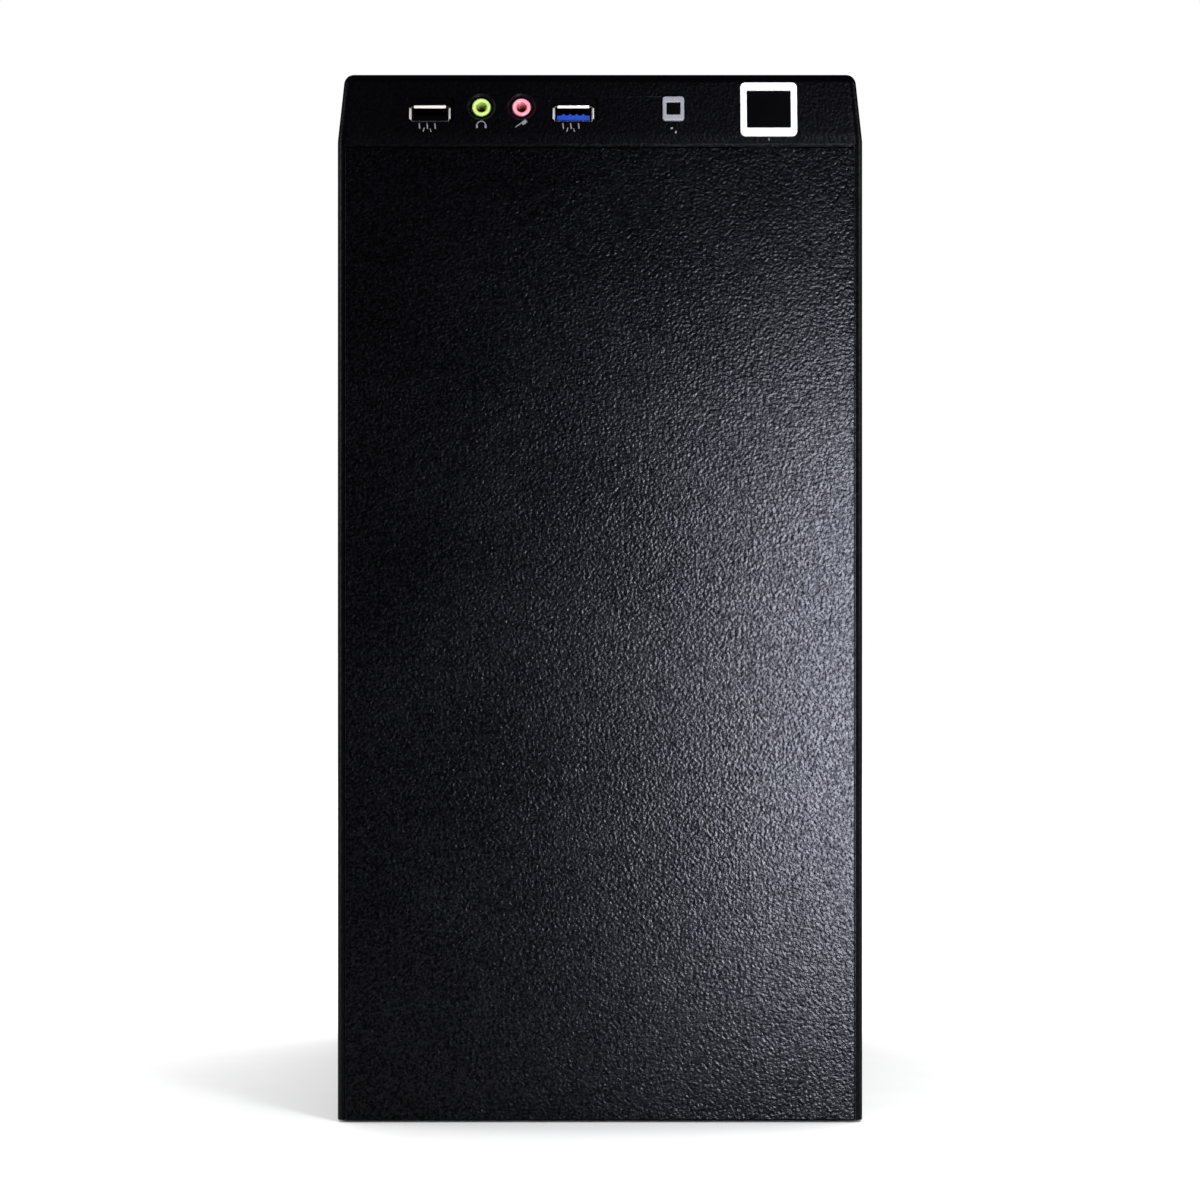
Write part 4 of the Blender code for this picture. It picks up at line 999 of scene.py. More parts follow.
def keyboard_and_mouse():
    """The two round sockets, each with a coloured insert."""
    x, z = block_middle("keyboard_mouse_ports")
    rise = 7.6 * MM
    mouths = [mouth(ring(x, at, 5.2 * MM, 40), 9 * MM) for at in (z - rise, z + rise)]
    hollow_block("keyboard_mouse_ports", mouths)
    for label, at, colour in (("keyboard", z - rise, "violet"), ("mouse", z + rise, "teal")):
        holes = []
        for angle in (0.5, 1.5, 2.6, 3.7, 4.7, 5.8):
            pin = Vector((math.cos(angle), math.sin(angle))) * 2.6 * MM
            holes.append(ring(x + pin.x, at + pin.y, 0.45 * MM, 12))
        holes.append(rectangle(x, at + 0.4 * MM, 1.6 * MM, 2.2 * MM, 0.3 * MM))
        insert = in_mouth(ring(x, at, 5.1 * MM, 40), holes, 8.8, 5.5)
        collar = in_mouth(ring(x, at, 5.15 * MM, 40), [ring(x, at, 4.4 * MM, 40)], 5.4, 0.2)
        add_parts(label + "_socket_insert", [insert, collar], colour)


def video_sockets():
    """A flat socket above and one with three rows of pin holes below. Returns the flat one's tongue."""
    x, z = block_middle("video_ports")
    upper_z = z + 10 * MM
    lower_z = z - 9.5 * MM
    upper = mouth(rectangle(x, upper_z, 5.2 * MM, 14.4 * MM, 1 * MM, 6), 9 * MM)
    lower = mouth(rectangle(x, lower_z, 8 * MM, 17 * MM, 2.2 * MM, 6), 9 * MM)
    hollow_block("video_ports", [upper, lower])
    pins = []
    for column in range(5):
        for row in range(-1, 2):
            pin_z = lower_z + ((column - 2) * 2.6 + row * 0.5) * MM
            pins.append(ring(x + row * 2.1 * MM, pin_z, 0.5 * MM, 10))
    face = in_mouth(rectangle(x, lower_z, 7.6 * MM, 16.6 * MM, 2.1 * MM), pins, 8.8, 5)
    add_piece("video_socket_face", face, "sky")
    return [bar_in_mouth(x, upper_z, 1.6, 10.8, 8.8, 1.2)]


def rear_usb_sockets():
    """Two USB sockets. Returns their tongues and contacts."""
    x, z = block_middle("rear_usb_ports")
    heights = (z - 4 * MM, z + 4 * MM)
    mouths = [mouth(rectangle(x, at, 12.4 * MM, 5 * MM, 0.4 * MM, 6), 9 * MM) for at in heights]
    hollow_block("rear_usb_ports", mouths)
    tongues = []
    contacts = []
    for at in heights:
        tongue_z = at - 1.15 * MM
        tongues.append(bar_in_mouth(x, tongue_z, 11.1, 1.9, 8.8, 1.6, 0.25 * MM))
        for number in range(4):
            contact_x = x + (number - 1.5) * 2.5 * MM
            contact_z = tongue_z + 0.99 * MM
            contacts.append(bar_in_mouth(contact_x, contact_z, 1, 0.18, 8, 2.2, 0.06 * MM, 1))
    return tongues, contacts


def network_socket():
    """The network socket. Returns the plate at its end and its contacts."""
    x, z = block_middle("network_port")
    hollow_block("network_port", [mouth(rectangle(x, z, 8 * MM, 12 * MM, 0.4 * MM, 6), 9 * MM)])
    contacts = []
    for number in range(8):
        at = z + (number - 3.5) * 1.1 * MM
        contacts.append(bar_in_mouth(x - 3 * MM, at, 1.2, 0.4, 8.6, 2, 0.1 * MM, 1))
    return [bar_in_mouth(x, z, 7.8, 11.8, 8.9, 8)], contacts


def rear_jacks():
    """Three audio jacks with coloured collars."""
    x, z = block_middle("rear_audio_jacks")
    shift = 9.6 * MM
    mouths = [mouth(ring(at, z, 3.3 * MM, 40), 15 * MM) for at in (x - shift, x, x + shift)]
    hollow_block("rear_audio_jacks", mouths, "black_part")
    collar = 3.2 * MM
    bore = 1.8 * MM
    profile = [(bore, -14 * MM), (bore, -0.8 * MM)]
    profile += arc(bore + 0.6 * MM, -0.7 * MM, 0.6 * MM, 180, 90, 4)
    profile += arc(collar - 0.4 * MM, -0.5 * MM, 0.4 * MM, 90, 0, 4)
    profile += [(collar, -14 * MM), (bore, -14 * MM)]
    for at, colour in ((x - shift, "pink"), (x, "green"), (x + shift, "sky")):
        place = Matrix.Translation((at, MOUTHS_Y, z)) @ Z_TO_BACK
        add_piece("rear_jack_" + colour, lathe(profile, 40, place), colour)


def rear_connectors():
    """The connector blocks on the board's rear edge and what is in their mouths."""
    keyboard_and_mouse()
    tongues = video_sockets()
    usb_tongues, contacts = rear_usb_sockets()
    network_plate, network_contacts = network_socket()
    rear_jacks()
    add_parts("rear_contacts", contacts + network_contacts, "gold")
    tongues += usb_tongues + network_plate
    add_parts("rear_socket_tongues", tongues, "black_part")


def io_shield():
    """The springy plate round the rear connectors, with a raised frame, dimples and windows."""
    low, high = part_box("io_shield")
    middle = middle_of("io_shield")
    size = high - low
    windows = []
    kept_clear = []
    for name in BLOCKS:
        block_low, block_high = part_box(name)
        block = middle_of(name)
        width = block_high.x - block_low.x + 2 * GAP
        height = block_high.z - block_low.z + 2 * GAP
        windows.append(rectangle(block.x, block.z, width, height, 0.5 * MM))
        reach = height / 2 + 2 * MM
        kept_clear.append((block.x - width / 2 - 2 * MM, block.z - reach, block.z + reach))
    outline = rectangle(middle.x, middle.z, size.x, size.z, 1.2 * MM)
    rim = rectangle(middle.x, middle.z, size.x - 1 * MM, size.z - 1 * MM, 1 * MM)
    inside_rim = rectangle(middle.x, middle.z, size.x - 3.4 * MM, size.z - 3.4 * MM, 0.8 * MM)
    parts = [sheet(outline, windows, "Y", low.y, high.y, 0.08 * MM, 1)]
    parts.append(sheet(rim, [inside_rim], "Y", high.y - 0.2 * MM, high.y + 0.5 * MM, 0.3 * MM, 3))
    dimple = in_mm([(0, -0.2), (1.1, -0.2), (1.1, 0), (0.9, 0.25), (0.5, 0.4), (0, 0.45)])
    for step in range(9):
        z = low.z + (9 + step * 17.5) * MM
        for x in (low.x + 4.6 * MM, low.x + 12 * MM):
            if not any(start < x and bottom < z < top for start, bottom, top in kept_clear):
                parts.append(lathe(dimple, 16, Matrix.Translation((x, high.y, z)) @ Z_TO_BACK))
    add_fine("io_shield", parts, "bright")


# ---------------------------------------------------------------- power supply

INLET_X, INLET_Z = mm(48, 319)
SWITCH_X, SWITCH_Z = mm(48, 286)
PSU_WALL = 1 * MM
PSU_FAN_SHIFT = 7 * MM


def supply_case():
    """The supply's steel box with its honeycomb and its fan's wire grille."""
    low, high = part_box("psu_case")
    middle = middle_of("psu_case")
    size = high - low
    outline = rectangle(middle.x, middle.z, size.x, size.z, 1 * MM)
    holes = [rectangle(INLET_X, INLET_Z, 27.6 * MM, 20.2 * MM, 3 * MM)]
    holes.append(rectangle(SWITCH_X, SWITCH_Z, 13.6 * MM, 19.6 * MM, 0.4 * MM))
    pitch = 7.4 * MM
    for row in range(11):
        for column in range(13):
            x = low.x + 10 * MM + (column + 0.5 * (row % 2)) * pitch
            z = low.z + 9 * MM + row * pitch * math.sqrt(3) / 2
            holes.append(ring(x, z, 3.4 * MM, 6, math.pi / 2))
    cable_hole = rectangle(50 * MM, 300 * MM, 26 * MM, 16 * MM, 2 * MM)
    parts = [sheet(outline, holes, "Y", high.y - PSU_WALL, high.y, 0.12 * MM)]
    parts.append(sheet(outline, [cable_hole], "Y", low.y, low.y + PSU_WALL, 0.12 * MM))
    length = size.y - 2 * PSU_WALL
    fan_y = middle.y - PSU_FAN_SHIFT
    fan_hole = ring(middle.x, fan_y, 57 * MM, 96)
    floor = rectangle(middle.x, middle.y, size.x, length)
    parts.append(sheet(floor, [fan_hole], "Z", low.z, low.z + PSU_WALL, 0.1 * MM, 1))
    parts.append(sheet(floor, [], "Z", high.z - PSU_WALL, high.z, 0.1 * MM, 1))
    side = rectangle(middle.y, middle.z, length, size.z - 2 * PSU_WALL)
    for x in (low.x, high.x - PSU_WALL):
        parts.append(sheet(side, [], "X", x, x + PSU_WALL, 0.1 * MM, 1))
    for radius in (14, 24, 34, 44, 54):
        parts.append(wire_ring(Vector((middle.x, fan_y, low.z - 1.2 * MM)), radius * MM, 0.8 * MM))
    add_fine("psu_case", parts, "zinc")


def mains_inlet():
    """The mains inlet with its flange and its three pins."""
    low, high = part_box("psu_inlet")
    body = rectangle(INLET_X, INLET_Z, 26.8 * MM, 19.4 * MM, 3 * MM)
    socket = rectangle(INLET_X, INLET_Z, 24 * MM, 16.4 * MM, 2.8 * MM, 6)
    item = new_object("inlet", soft_between((low.x, high.y - 1.8 * MM, low.z), high, 0.5 * MM, 3))
    body_item = new_object("inlet_body", sheet(body, [], "Y", low.y, high.y - 1 * MM, 0.2 * MM, 1))
    join = item.modifiers.new("join", "BOOLEAN")
    join.operation = "UNION"
    join.solver = "EXACT"
    join.object = body_item
    mesh = cut_all(item, [sheet(socket, [], "Y", low.y + 1.5 * MM, high.y + 5 * MM, 0.0, 0)])
    bpy.data.objects.remove(body_item, do_unlink=True)
    add_piece("psu_inlet_fine", mesh, "black_part", CASE, ("psu_inlet",))
    pins = []
    for right, up in ((-7, 2), (0, -2), (7, 2)):
        at = (INLET_X + right * MM, high.y - 9 * MM, INLET_Z + up * MM)
        pins.append(soft_box(mm(2, 15, 4), at, 0.35 * MM))
    add_parts("inlet_pins", pins, "shell")


def rocker_switch():
    """The rocker's housing, the rocker, and a bar and a ring raised on its two faces."""
    low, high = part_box("psu_switch_housing")
    rim_y = high.y - 1.6 * MM
    outer = rectangle(SWITCH_X, SWITCH_Z, high.x - low.x, high.z - low.z, 0.6 * MM)
    opening = rectangle(SWITCH_X, SWITCH_Z, 11.4 * MM, 17.6 * MM, 0.3 * MM)
    body = rectangle(SWITCH_X, SWITCH_Z, 13 * MM, 19 * MM, 0.3 * MM)
    parts = [sheet(outer, [opening], "Y", rim_y, high.y, 0.4 * MM, 3)]
    parts.append(sheet(body, [opening], "Y", low.y, rim_y, 0.1 * MM, 1))
    add_fine("psu_switch_housing", parts, "black_part")
    refine("psu_switch_rocker", "black_part", 0.5 * MM, "mains_rocker", 3)

    lean = math.radians(12)
    rock = Matrix.Translation(joint("mains_rocker_tilt")["pos_m"]) @ Matrix.Rotation(-lean, 4, "X")
    marks = []
    for face in (-1, 1):
        at = rock @ Matrix.Translation((0, 2.15 * MM, face * 4.2 * MM))
        at = at @ Matrix.Rotation(-face * lean, 4, "X")
        if face > 0:
            marks.append(soft_box(mm(0.5, 0.3, 3), (0, 0, 0), 0.1 * MM, 2, at))
        else:
            circle = ring(0, 0, 1.6 * MM)
            hole = ring(0, 0, 1.15 * MM)
            marks.append(sheet(circle, [hole], "Y", -0.15 * MM, 0.15 * MM, 0.08 * MM, 1, at))
    add_parts("rocker_marks", marks, "white", "mains_rocker")


def supply_parts():
    """The supply's board, hung under its lid, with heat sinks, a transformer, a coil and capacitors."""
    low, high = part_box("psu_circuit_board")
    under = high.z - 1.6 * MM
    length = 100 * MM
    x = middle_of("psu_circuit_board").x
    plate = rectangle(x, high.y - length / 2, high.x - low.x, length, 1 * MM)
    board = sheet(plate, [], "Z", under, high.z, 0.15 * MM, 1)
    add_fine("psu_circuit_board", [board], "board")

    def hung(left, front, drop_end, right, back, drop, radius=0.3, segments=2):
        """A block under the board, in millimetres, with its heights measured down from the board."""
        low = (left * MM, front * MM, under - drop_end * MM)
        return soft_between(low, (right * MM, back * MM, under - drop * MM), radius * MM, segments)

    fins = [hung(8.5, 30, 29, 11.5, 90, 0)]
    for number in range(9):
        y = 34 + 6.5 * number
        fins.append(hung(0, y - 0.7, 29, 20, y + 0.7, 4))
    fins.append(hung(-26, 92, 29, -24, 130, 0))
    for number in range(5):
        drop = 5 + 6 * number
        fins.append(hung(-25, 93, drop + 0.7, -13, 129, drop - 0.7))
    add_parts("supply_heat_sinks", fins, "alloy")

    dark = [hung(-57, 43, 22, -23, 77, 3, 1.5, 3), hung(-53, 47, 30, -27, 73, 0, 2.5, 3)]
    outline = [(0, 0), (9.6, 0), (10, 0.6), (10, 31), (9.4, 32), (8.4, 32), (8.2, 31.6), (0, 31.6)]
    for y in (99 * MM, 121 * MM):
        place = Matrix.Translation((-47 * MM, y, under)) @ UPSIDE_DOWN
        dark.append(lathe(in_mm(outline), 40, place))
    add_parts("supply_transformer", dark, "black_part")

    circle = ring(0, 0, 1, 16)
    winding = [((11 + 4.5 * x) * MM, (-8 + 5.5 * y) * MM) for x, y in circle + circle[:1]]
    coil = lathe(winding, 40, Matrix.Translation((45 * MM, 70 * MM, under)))
    add_piece("supply_coil", coil, "gold")


# ---------------------------------------------------------------- fans


def fan(name, size, thick, turn):
    """A square fan: its frame with a duct, screw holes and arms, and its rotor with swept blades."""
    frame_node = name + "_frame"
    place = Matrix.Translation(middle_of(frame_node)) @ turn
    duct = size / 2 - 2.2 * MM
    hub = size * 0.19
    arm_thick = 2.6 * MM
    flange = 3 * MM
    back = -thick / 2
    front = thick / 2
    bolt = size / 2 - 4.8 * MM
    bolts = [ring(x * bolt, y * bolt, 2 * MM, 20) for x in (-1, 1) for y in (-1, 1)]
    outline = rectangle(0, 0, size, size, 3.68 * MM, 6)
    duct_ring = ring(0, 0, duct, 72)
    parts = []
    for start, end in ((back, back + flange), (front - flange, front)):
        parts.append(sheet(outline, [duct_ring] + bolts, "Z", start, end, 0.35 * MM, 2, place))
    wall = ring(0, 0, size / 2 - 0.6 * MM, 72)
    overlap = flange * 0.8
    parts.append(sheet(wall, [duct_ring], "Z", back + overlap, front - overlap, 0.1 * MM, 1, place))
    outer = duct + 0.8 * MM
    inner = hub * 0.8
    arm = (outer - inner, 3.2 * MM, arm_thick)
    arm_at = Matrix.Translation(((inner + outer) / 2, 0, back + arm_thick / 2))
    arm_at = arm_at @ Matrix.Rotation(0.12, 4, "Z")
    for number in range(4):
        spin = place @ Matrix.Rotation(math.pi / 2 * number + 0.35, 4, "Z")
        parts.append(soft_box(arm, (0, 0, 0), 0.5 * MM, 2, spin @ arm_at))
    boss_end = arm_thick + 0.6 * MM
    boss = [(0.0, 0.0), (hub - 0.6 * MM, 0.0), (hub, 0.6 * MM), (hub, boss_end), (0.0, boss_end)]
    parts.append(lathe(boss, 48, place @ Matrix.Translation((0, 0, back))))
    add_fine(frame_node, parts, "black_part")

    low = back + arm_thick + 1.2 * MM
    high = low + thick - arm_thick - 4 * MM
    soft = 1.5 * MM
    dip = high - 0.4 * MM
    profile = [(0.0, low), (hub, low), (hub, high - soft)]
    profile += arc(hub - soft, high - soft, soft, 0, 90, 4)
    profile += [(hub * 0.55, high), (hub * 0.5, dip), (0.0, dip)]
    parts = [lathe(profile, 48, place)]
    blades = 7
    for number in range(blades):
        spin = place @ Matrix.Rotation(2 * math.pi * number / blades, 4, "Z")
        parts.append(blade(hub - 1 * MM, duct - 1.2 * MM, low + 0.5 * MM, high - 0.7 * MM, blades, spin))
    rotor = name + "_rotor"
    add_fine(rotor, parts, "black_part", rotor, 50)


def blade(root, tip, low, high, count, matrix):
    """One swept and twisted blade of a fan, as a thin closed shell."""
    shape = bmesh.new()
    steps = 8
    half_span = math.pi / count * 0.86
    sides = []
    for face in (-1, 1):
        grid = []
        for row in range(steps + 1):
            out = row / steps
            radius = root + (tip - root) * out
            line = []
            for column in range(steps + 1):
                over = column / steps
                angle = (over - 0.5) * 2 * half_span + 0.32 * out * out
                camber = 0.9 * MM * math.sin(math.pi * over)
                thick = 0.55 * MM * max(0.25, math.sin(math.pi * min(max(over, 0.04), 0.96)))
                z = low + (high - low) * (0.08 * out + (1 - 0.16 * out) * over) + camber + face * thick
                line.append(shape.verts.new((radius * math.cos(angle), radius * math.sin(angle), z)))
            grid.append(line)
        for first, second in zip(grid, grid[1:]):
            for a, b, c, d in zip(first, first[1:], second[1:], second):
                shape.faces.new((a, b, c, d))
        border = grid[0] + [line[-1] for line in grid[1:]]
        border += grid[-1][-2::-1] + [line[0] for line in grid[-2:0:-1]]
        sides.append(border)
    lower, upper = sides
    for a, b, c, d in zip(lower, lower[1:] + lower[:1], upper[1:] + upper[:1], upper):
        shape.faces.new((a, b, c, d))
    return mesh_of(shape, matrix)


# ---------------------------------------------------------------- circuit boards

BOARD_FACE = 65 * MM
MEMORY_Z = 172 * MM
MEMORY_ROWS = (0, 10 * MM)


def on_board(y, z, high, long_y, long_z, radius=0.3):
    """A part standing on the motherboard's inner face, all in millimetres."""
    size = mm(high + 0.2, long_y, long_z)
    centre = (BOARD_FACE + 0.2 * MM - size.x / 2, y * MM, z * MM)
    return soft_box(size, centre, radius * MM)


def board_lathe(points, y, z, steps):
    """A round part standing on the motherboard, from its profile, all in millimetres."""
    return lathe(in_mm(points), steps, Matrix.Translation((BOARD_FACE, y * MM, z * MM)) @ Z_TO_LEFT)


def can(y, z, radius, high):
    """A round capacitor standing on the motherboard, with a groove near its foot and a sunk top."""
    profile = [(0, 0), (radius, 0), (radius, 1), (radius - 0.25, 1.4), (radius, 1.8), (radius, high - 0.4)]
    profile += [(radius - 0.4, high), (radius - 1, high - 0.2), (0, high - 0.2)]
    return board_lathe(profile, y, z, 24)


def board_sheet(outline, holes, high, edge=0.25 * MM):
    """A plate with holes standing on the motherboard, with its height in millimetres."""
    return sheet(outline, holes, "X", BOARD_FACE - high * MM, BOARD_FACE, edge)


def board_sockets():
    """The plastic sockets over the board's blocks: memory, expansion, power and drives."""
    parts = []
    for y in MEMORY_ROWS:
        body = rectangle(y, MEMORY_Z, 6.8 * MM, 140.4 * MM, 0.8 * MM)
        groove = rectangle(y, MEMORY_Z, 3.5 * MM, 134 * MM, 0.3 * MM)
        parts.append(board_sheet(body, [groove], 8.2))
    for y, z, length in ((98 * MM, SLOT_HEIGHTS[3], 89 * MM), (130 * MM, SLOT_HEIGHTS[1], 25 * MM)):
        body = rectangle(y, z, length + 0.4 * MM, 7.9 * MM, 0.6 * MM)
        groove = rectangle(y, z, length - 4 * MM, 1.8 * MM, 0.2 * MM)
        parts.append(board_sheet(body, [groove], 11.2))
    pitch = 4.2
    for y, z, columns, rows, size, high in ((-72, 150, 2, 12, mm(10.4, 52.4), 10.2),
                                            (-70, 60, 3, 4, mm(14.4, 18.4), 8.2)):
        holes = []
        for column in range(columns):
            for row in range(rows):
                at = mm(y + (column - (columns - 1) / 2) * pitch, z + (row - (rows - 1) / 2) * pitch)
                holes.append(rectangle(at.x, at.y, 3.2 * MM, 3.2 * MM, 0.4 * MM))
        body = rectangle(y * MM, z * MM, size.x, size.y, 0.5 * MM)
        parts.append(board_sheet(body, holes, high, 0.2 * MM))
    parts += [on_board(-70, 84 + 9 * row, 9, 15, 6.6) for row in range(4)]
    add_parts("board_sockets", parts, "black_part")
    latches = []
    for y in MEMORY_ROWS:
        for end in (-1, 1):
            at = (BOARD_FACE - 9 * MM, y, MEMORY_Z + end * 70.5 * MM)
            latches.append(soft_box(mm(9, 4.4, 3.2), at, 0.6 * MM, 3))
    add_parts("memory_latches", latches, "white")


def board_parts():
    """Chips, capacitors, coils, the chipset's cooler, the battery and the screws on the motherboard."""
    chips = [on_board(118, 60, 1.2, 9, 9, 0.15), on_board(-40, 100, 1.2, 12, 12, 0.15),
             on_board(124, 120, 1.2, 7, 7, 0.15), on_board(128, 145, 1.2, 8, 8, 0.15),
             on_board(-40, 30, 1.4, 6, 9, 0.15), on_board(-20, 30, 1.4, 6, 9, 0.15)]
    chips += [on_board(126, 158 + 9 * number, 2.2, 6, 6.4, 0.15) for number in range(8)]
    add_parts("board_chips", chips, "black_part")

    cans = [can(138, 158 + 10 * number, 3.6, 11) for number in range(7)]
    cans += [can(40 + 11 * number, 238, 3.6, 11) for number in range(7)]
    cans += [can(24 + 12 * number, 100, 3, 9) for number in range(8)]
    cans += [can(y, z, 3, 9) for y, z in ((-30, 130), (-30, 200), (-55, 220), (20, 40), (60, 40))]
    add_parts("board_capacitors", cans, "alloy")

    coils = [on_board(46 + 12 * number, 248, 7, 9, 9, 0.8) for number in range(6)]
    add_parts("board_coils", coils, "black_part")

    fins = [on_board(0, 66, 5, 38, 38)]
    fins += [on_board(0, 66 - 17.5 + number * 35 / 9, 16, 37, 1.2) for number in range(10)]
    add_parts("chipset_cooler", fins, "alloy")

    battery = [(0, 0), (10, 0), (10, 2.6), (9.6, 3.1), (8.4, 3.1), (8.2, 3.3), (0, 3.3)]
    add_piece("board_battery", board_lathe(battery, -45, 66, 48), "nickel")

    head = [(0, -0.2), (3, -0.2), (3, 0.5), (2.2, 1.3), (1.1, 1.5), (1, 0.7), (0, 0.7)]
    places = [(-76, 20), (-76, 136), (-76, 250), (36, 20), (36, 136), (36, 250), (140, 20)]
    screws = [board_lathe(head, y, z, 24) for y, z in places]
    add_parts("board_screws", screws, "nickel")


def memory_parts():
    """The black chips on both faces of each memory module, and its row of contacts."""
    chips = []
    contacts = []
    for name in ("memory_module_1", "memory_module_2"):
        low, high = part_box(name)
        middle = middle_of(name)
        thick = high.y - low.y
        for step in range(8):
            at = (middle.x - 2 * MM, middle.y, low.z + (11 + 15.8 * step) * MM)
            chips.append(soft_box((13 * MM, thick + 0.3 * MM, 10 * MM), at, 0.2 * MM))
        for step in range(60):
            at = (high.x - 1.4 * MM, middle.y, low.z + (4 + 2.1 * step) * MM)
            contacts.append(soft_box((3 * MM, thick + 0.1 * MM, 1.2 * MM), at, 0.03 * MM, 1))
    add_parts("memory_chips", chips, "black_part")
    add_parts("memory_contacts", contacts, "gold")


def drive_and_plugs():
    """The drive's lid and screws, and the plugs at the ends of the cables."""
    low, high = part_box("hard_drive")
    middle = middle_of("hard_drive")
    lid = rectangle(middle.x, middle.y, high.x - low.x - 7 * MM, high.y - low.y - 9 * MM, 6 * MM, 6)
    lid_hole = ring(middle.x - 8 * MM, middle.y - 24 * MM, 5 * MM)
    bead, bead_hole = [ring(middle.x - 6 * MM, middle.y + 22 * MM, r * MM, 64) for r in (34, 31)]
    parts = [sheet(lid, [lid_hole], "Z", high.z - 0.3 * MM, high.z + 0.7 * MM, 0.3 * MM)]
    parts.append(sheet(bead, [bead_hole], "Z", high.z + 0.4 * MM, high.z + 1.1 * MM, 0.25 * MM))
    add_parts("drive_lid", parts, "bright")
    head = in_mm([(0, 0), (2.3, 0), (2.3, 0.6), (1.7, 1), (0.8, 1), (0.7, 0.4), (0, 0.4)])
    screws = []
    for x in (low.x + 7 * MM, high.x - 7 * MM):
        for y in (low.y + 9 * MM, middle.y, high.y - 9 * MM):
            screws.append(lathe(head, 20, Matrix.Translation((x, y, high.z + 0.6 * MM))))
    add_parts("drive_screws", screws, "nickel")
    plug_y = high.y + 1.5 * MM
    plugs = [soft_between(mm(45, -77.5, 124.5), mm(55.5, -66.5, 177), 0.6 * MM, 3),
             soft_between(mm(47, -75, 53), mm(57.5, -63, 73), 0.6 * MM, 3),
             soft_box(mm(14, 5, 14), (middle.x + 20 * MM, plug_y, low.z + 9 * MM), 0.5 * MM, 3),
             soft_box(mm(22, 5, 8), (middle.x - 6 * MM, plug_y, low.z + 7 * MM), 0.5 * MM, 3)]
    add_parts("cable_plugs", plugs, "black_part")


def build_case():
    """Everything behind the front."""
    side_panel("left_side_panel", -1)
    side_panel("right_side_panel", 1)
    for side in ("left", "right"):
        for height in ("bottom", "top"):
            thumbscrew("thumbscrew_" + side + "_" + height)
        for end in ("front", "back"):
            foot("foot_" + end + "_" + side)
    rear_wall()
    for number in range(1, 5):
        slot_cover("slot_cover_" + str(number))
    roof_rivets()
    rear_connectors()
    io_shield()
    supply_case()
    mains_inlet()
    rocker_switch()
    supply_parts()
    fan("rear_fan", 92 * MM, 25 * MM, Z_TO_FRONT)
    fan("cpu_fan", 80 * MM, 15 * MM, Z_TO_LEFT)
    fan("psu_fan", 120 * MM, 25 * MM, UPSIDE_DOWN)
    board_sockets()
    board_parts()
    memory_parts()
    drive_and_plugs()
    for node, material, slot, width in (
            ("chassis_base", "paint", "black_paint", 0.2),
            ("chassis_top", "paint", "black_paint", 0.25),
            ("chassis_front", "zinc", "zinc_steel", 0.15),
            ("motherboard_tray", "zinc", "zinc_steel", 0.15),
            ("drive_cage", "zinc", "zinc_steel", 0.2),
            ("hard_drive", "alloy", "drive_aluminium", 0.3),
            ("motherboard", "board", "circuit_board", 0.15),
            ("memory_module_1", "board", "circuit_board", 0.2),
            ("memory_module_2", "board", "circuit_board", 0.2),
            ("front_io_board", "board", "circuit_board", 0.15),
            ("power_switch", "black_part", "socket_plastic", 0.2),
            ("reset_switch", "black_part", "socket_plastic", 0.2),
            ("cpu_heatsink", "alloy", "heatsink_aluminium", 0.15),
            ("main_power_cable", "sleeve", "cable_sleeve", 0),
            ("front_io_cable", "sleeve", "cable_sleeve", 0)):
        refine(node, material, width * MM)


# ---------------------------------------------------------------- studio


def area_light(name, place, target, size, power, colour=(1, 1, 1)):
    """A soft rectangular lamp aimed at a point."""
    data = bpy.data.lights.new(name, "AREA")
    data.shape = "RECTANGLE"
    data.size, data.size_y = size
    data.energy = power
    data.color = colour
    item = new_object(name, data)
    item.location = place
    item.rotation_euler = (Vector(target) - Vector(place)).to_track_quat("-Z", "Y").to_euler()
    item.visible_camera = False
    return item


def keep_off(lamps, pieces):
    """Keep lamps from lighting some pieces."""
    group = bpy.data.collections.new("unlit")
    for name in pieces:
        group.objects.link(bpy.data.objects[name])
    for entry in group.collection_objects:
        entry.light_linking.link_state = "EXCLUDE"
    for lamp in lamps:
        lamp.light_linking.receiver_collection = group


def floor_paper():
    """Pale paper that the camera sees whiter further out, and that is darker in reflections."""
    material, tree, shader = new_material("floor_paper")
    grain = noise(tree, 40)
    path = tree.nodes.new("ShaderNodeLightPath")
    place = tree.nodes.new("ShaderNodeTexCoord")
    away = tree.nodes.new("ShaderNodeVectorMath")
    away.operation = "LENGTH"
    tree.links.new(place.outputs["Object"], away.inputs[0])
    near = spread(tree, away.outputs["Value"], 1, 0, 0.5, 1.3)
    reflected = tree.nodes.new("ShaderNodeMix")
    reflected.data_type = "RGBA"
    tree.links.new(blend_colours(tree, grain, grey(0.82), grey(0.86)), reflected.inputs["A"])
    tree.links.new(blend_colours(tree, near, grey(0.05), grey(0.2)), reflected.inputs["B"])
    tree.links.new(path.outputs["Is Glossy Ray"], reflected.inputs["Factor"])
    tree.links.new(reflected.outputs["Result"], shader.inputs["Base Color"])
    shader.inputs["Roughness"].default_value = 0.9
    shader.inputs["Specular IOR Level"].default_value = 0.1
    glow = tree.nodes.new("ShaderNodeMath")
    glow.operation = "MULTIPLY"
    tree.links.new(spread(tree, away.outputs["Value"], 0.0, 0.3, 0.4, 1.6), glow.inputs[0])
    tree.links.new(path.outputs["Is Camera Ray"], glow.inputs[1])
    shader.inputs["Emission Color"].default_value = (1, 1, 1, 1)
    tree.links.new(glow.outputs["Value"], shader.inputs["Emission Strength"])
    return material


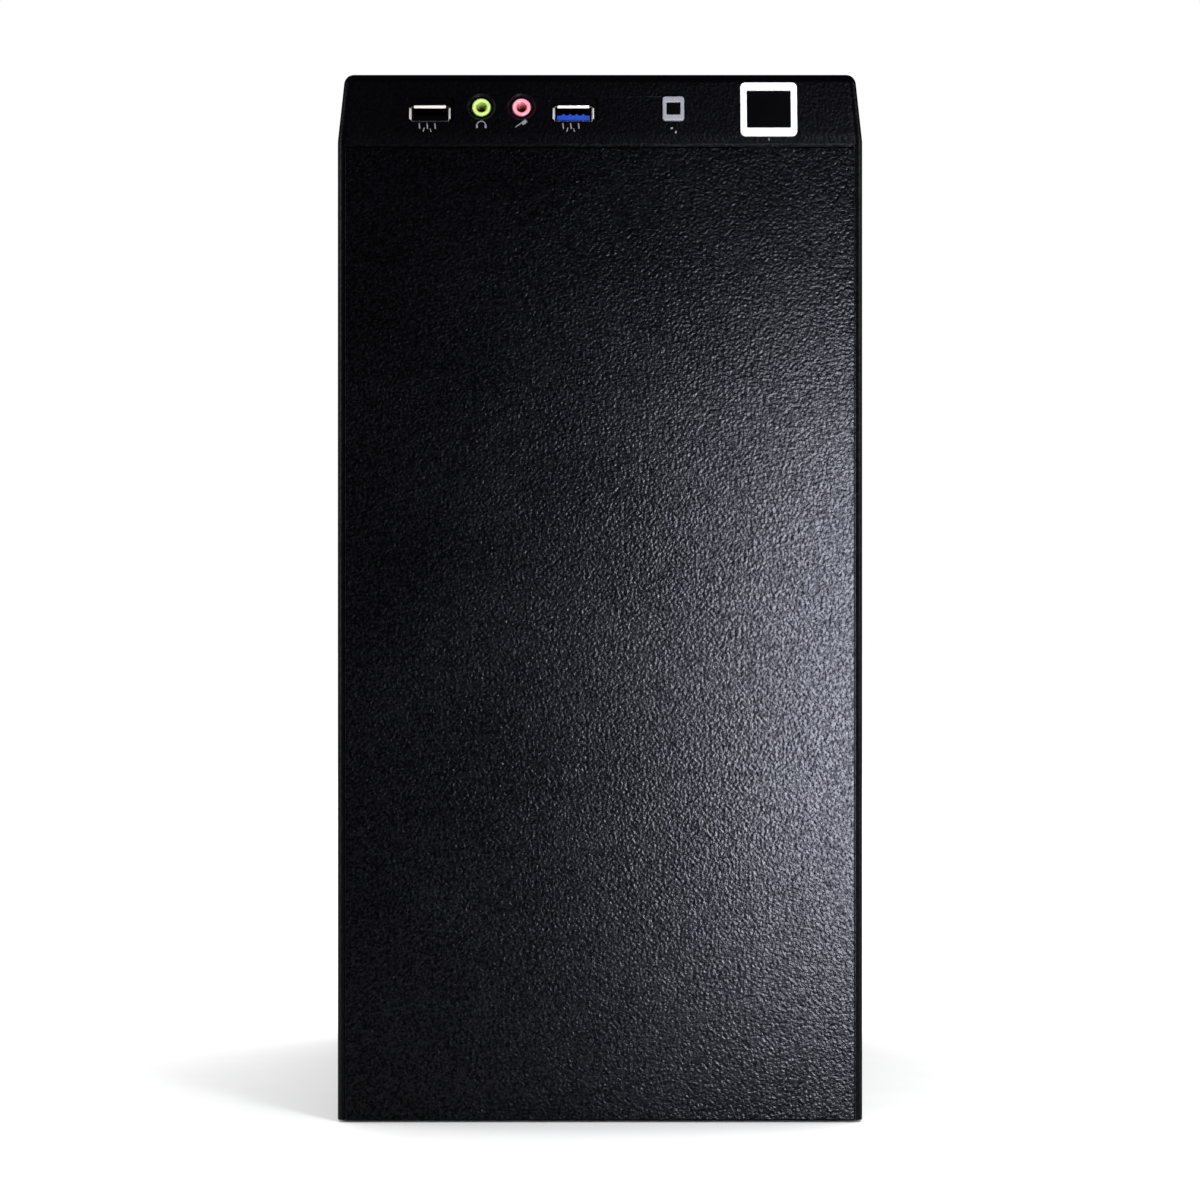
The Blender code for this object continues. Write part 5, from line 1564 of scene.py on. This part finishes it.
def white_world():
    """A white surround that is almost dark in reflections."""
    world = bpy.data.worlds.new("studio")
    bpy.context.scene.world = world
    world.use_nodes = True
    tree = world.node_tree
    background = tree.nodes["Background"]
    path = tree.nodes.new("ShaderNodeLightPath")
    level = spread(tree, path.outputs["Is Glossy Ray"], 1.0, 0.02, 0, 1)
    tree.links.new(level, background.inputs["Strength"])
    background.inputs["Color"].default_value = (1, 1, 1, 1)


def lamps():
    """The lamps on the front, those that are kept off it, and two weak ones at the sides."""
    cool = (0.97, 0.975, 1.0)
    area_light("key", (0.14, -0.6, 0.135), (0.12, -0.17, 0.135), (0.11, 0.24), 2.5, cool)
    area_light("low_key", (0.175, -0.6, 0.06), (0.14, -0.17, 0.06), (0.055, 0.07), 0.15, cool)
    area_light("upper_key", (0.28, -0.9, 0.72), (0.09, -0.17, 0.33), (0.1, 0.1), 0.55, cool)
    middle = (0, 0.1, 0.15)
    surround = [area_light("roof", (0, 1.0, 1.9), (0, 0.5, 0), (1.8, 1.2), 25),
                area_light("left", (-2.2, 0.9, 0.9), middle, (1.0, 1.4), 15),
                area_light("right", (2.2, 0.9, 0.9), middle, (1.0, 1.4), 15),
                area_light("rear", (0.5, 2.6, 1.0), middle, (1.6, 1.4), 15)]
    keep_off(surround, ("front_bezel_fine", "front_panel_fine", "power_button_fine"))
    area_light("left_fill", (-1.6, -0.15, 0.5), (0, -0.15, 0.15), (0.8, 1.0), 3)
    area_light("right_fill", (1.6, -0.15, 0.5), (0, -0.15, 0.15), (0.8, 1.0), 3)


def straight_camera():
    """A camera straight in front of the tower, framed as the photograph is."""
    distance = 1.6
    pixels_per_metre = 3003.0
    photo_pixels = 1200
    view_width = photo_pixels / pixels_per_metre
    data = bpy.data.cameras.new("camera")
    data.sensor_width = 36
    data.lens = data.sensor_width * distance / view_width
    camera = new_object("camera", data)
    camera.location = (0, FRONT_Y - distance, 0.17406)
    camera.rotation_euler = (math.pi / 2, 0, 0)
    bpy.context.scene.camera = camera


def studio():
    """The floor, the light and the camera."""
    shape = bmesh.new()
    floor_radius = 14
    bmesh.ops.create_circle(shape, cap_ends=True, segments=96, radius=floor_radius)
    floor = new_object("floor", mesh_of(shape))
    floor.data.materials.append(floor_paper())
    white_world()
    lamps()
    straight_camera()
    bpy.context.scene.view_settings.view_transform = "Standard"


MATERIALS = make_materials()
build_front()
build_case()
studio()
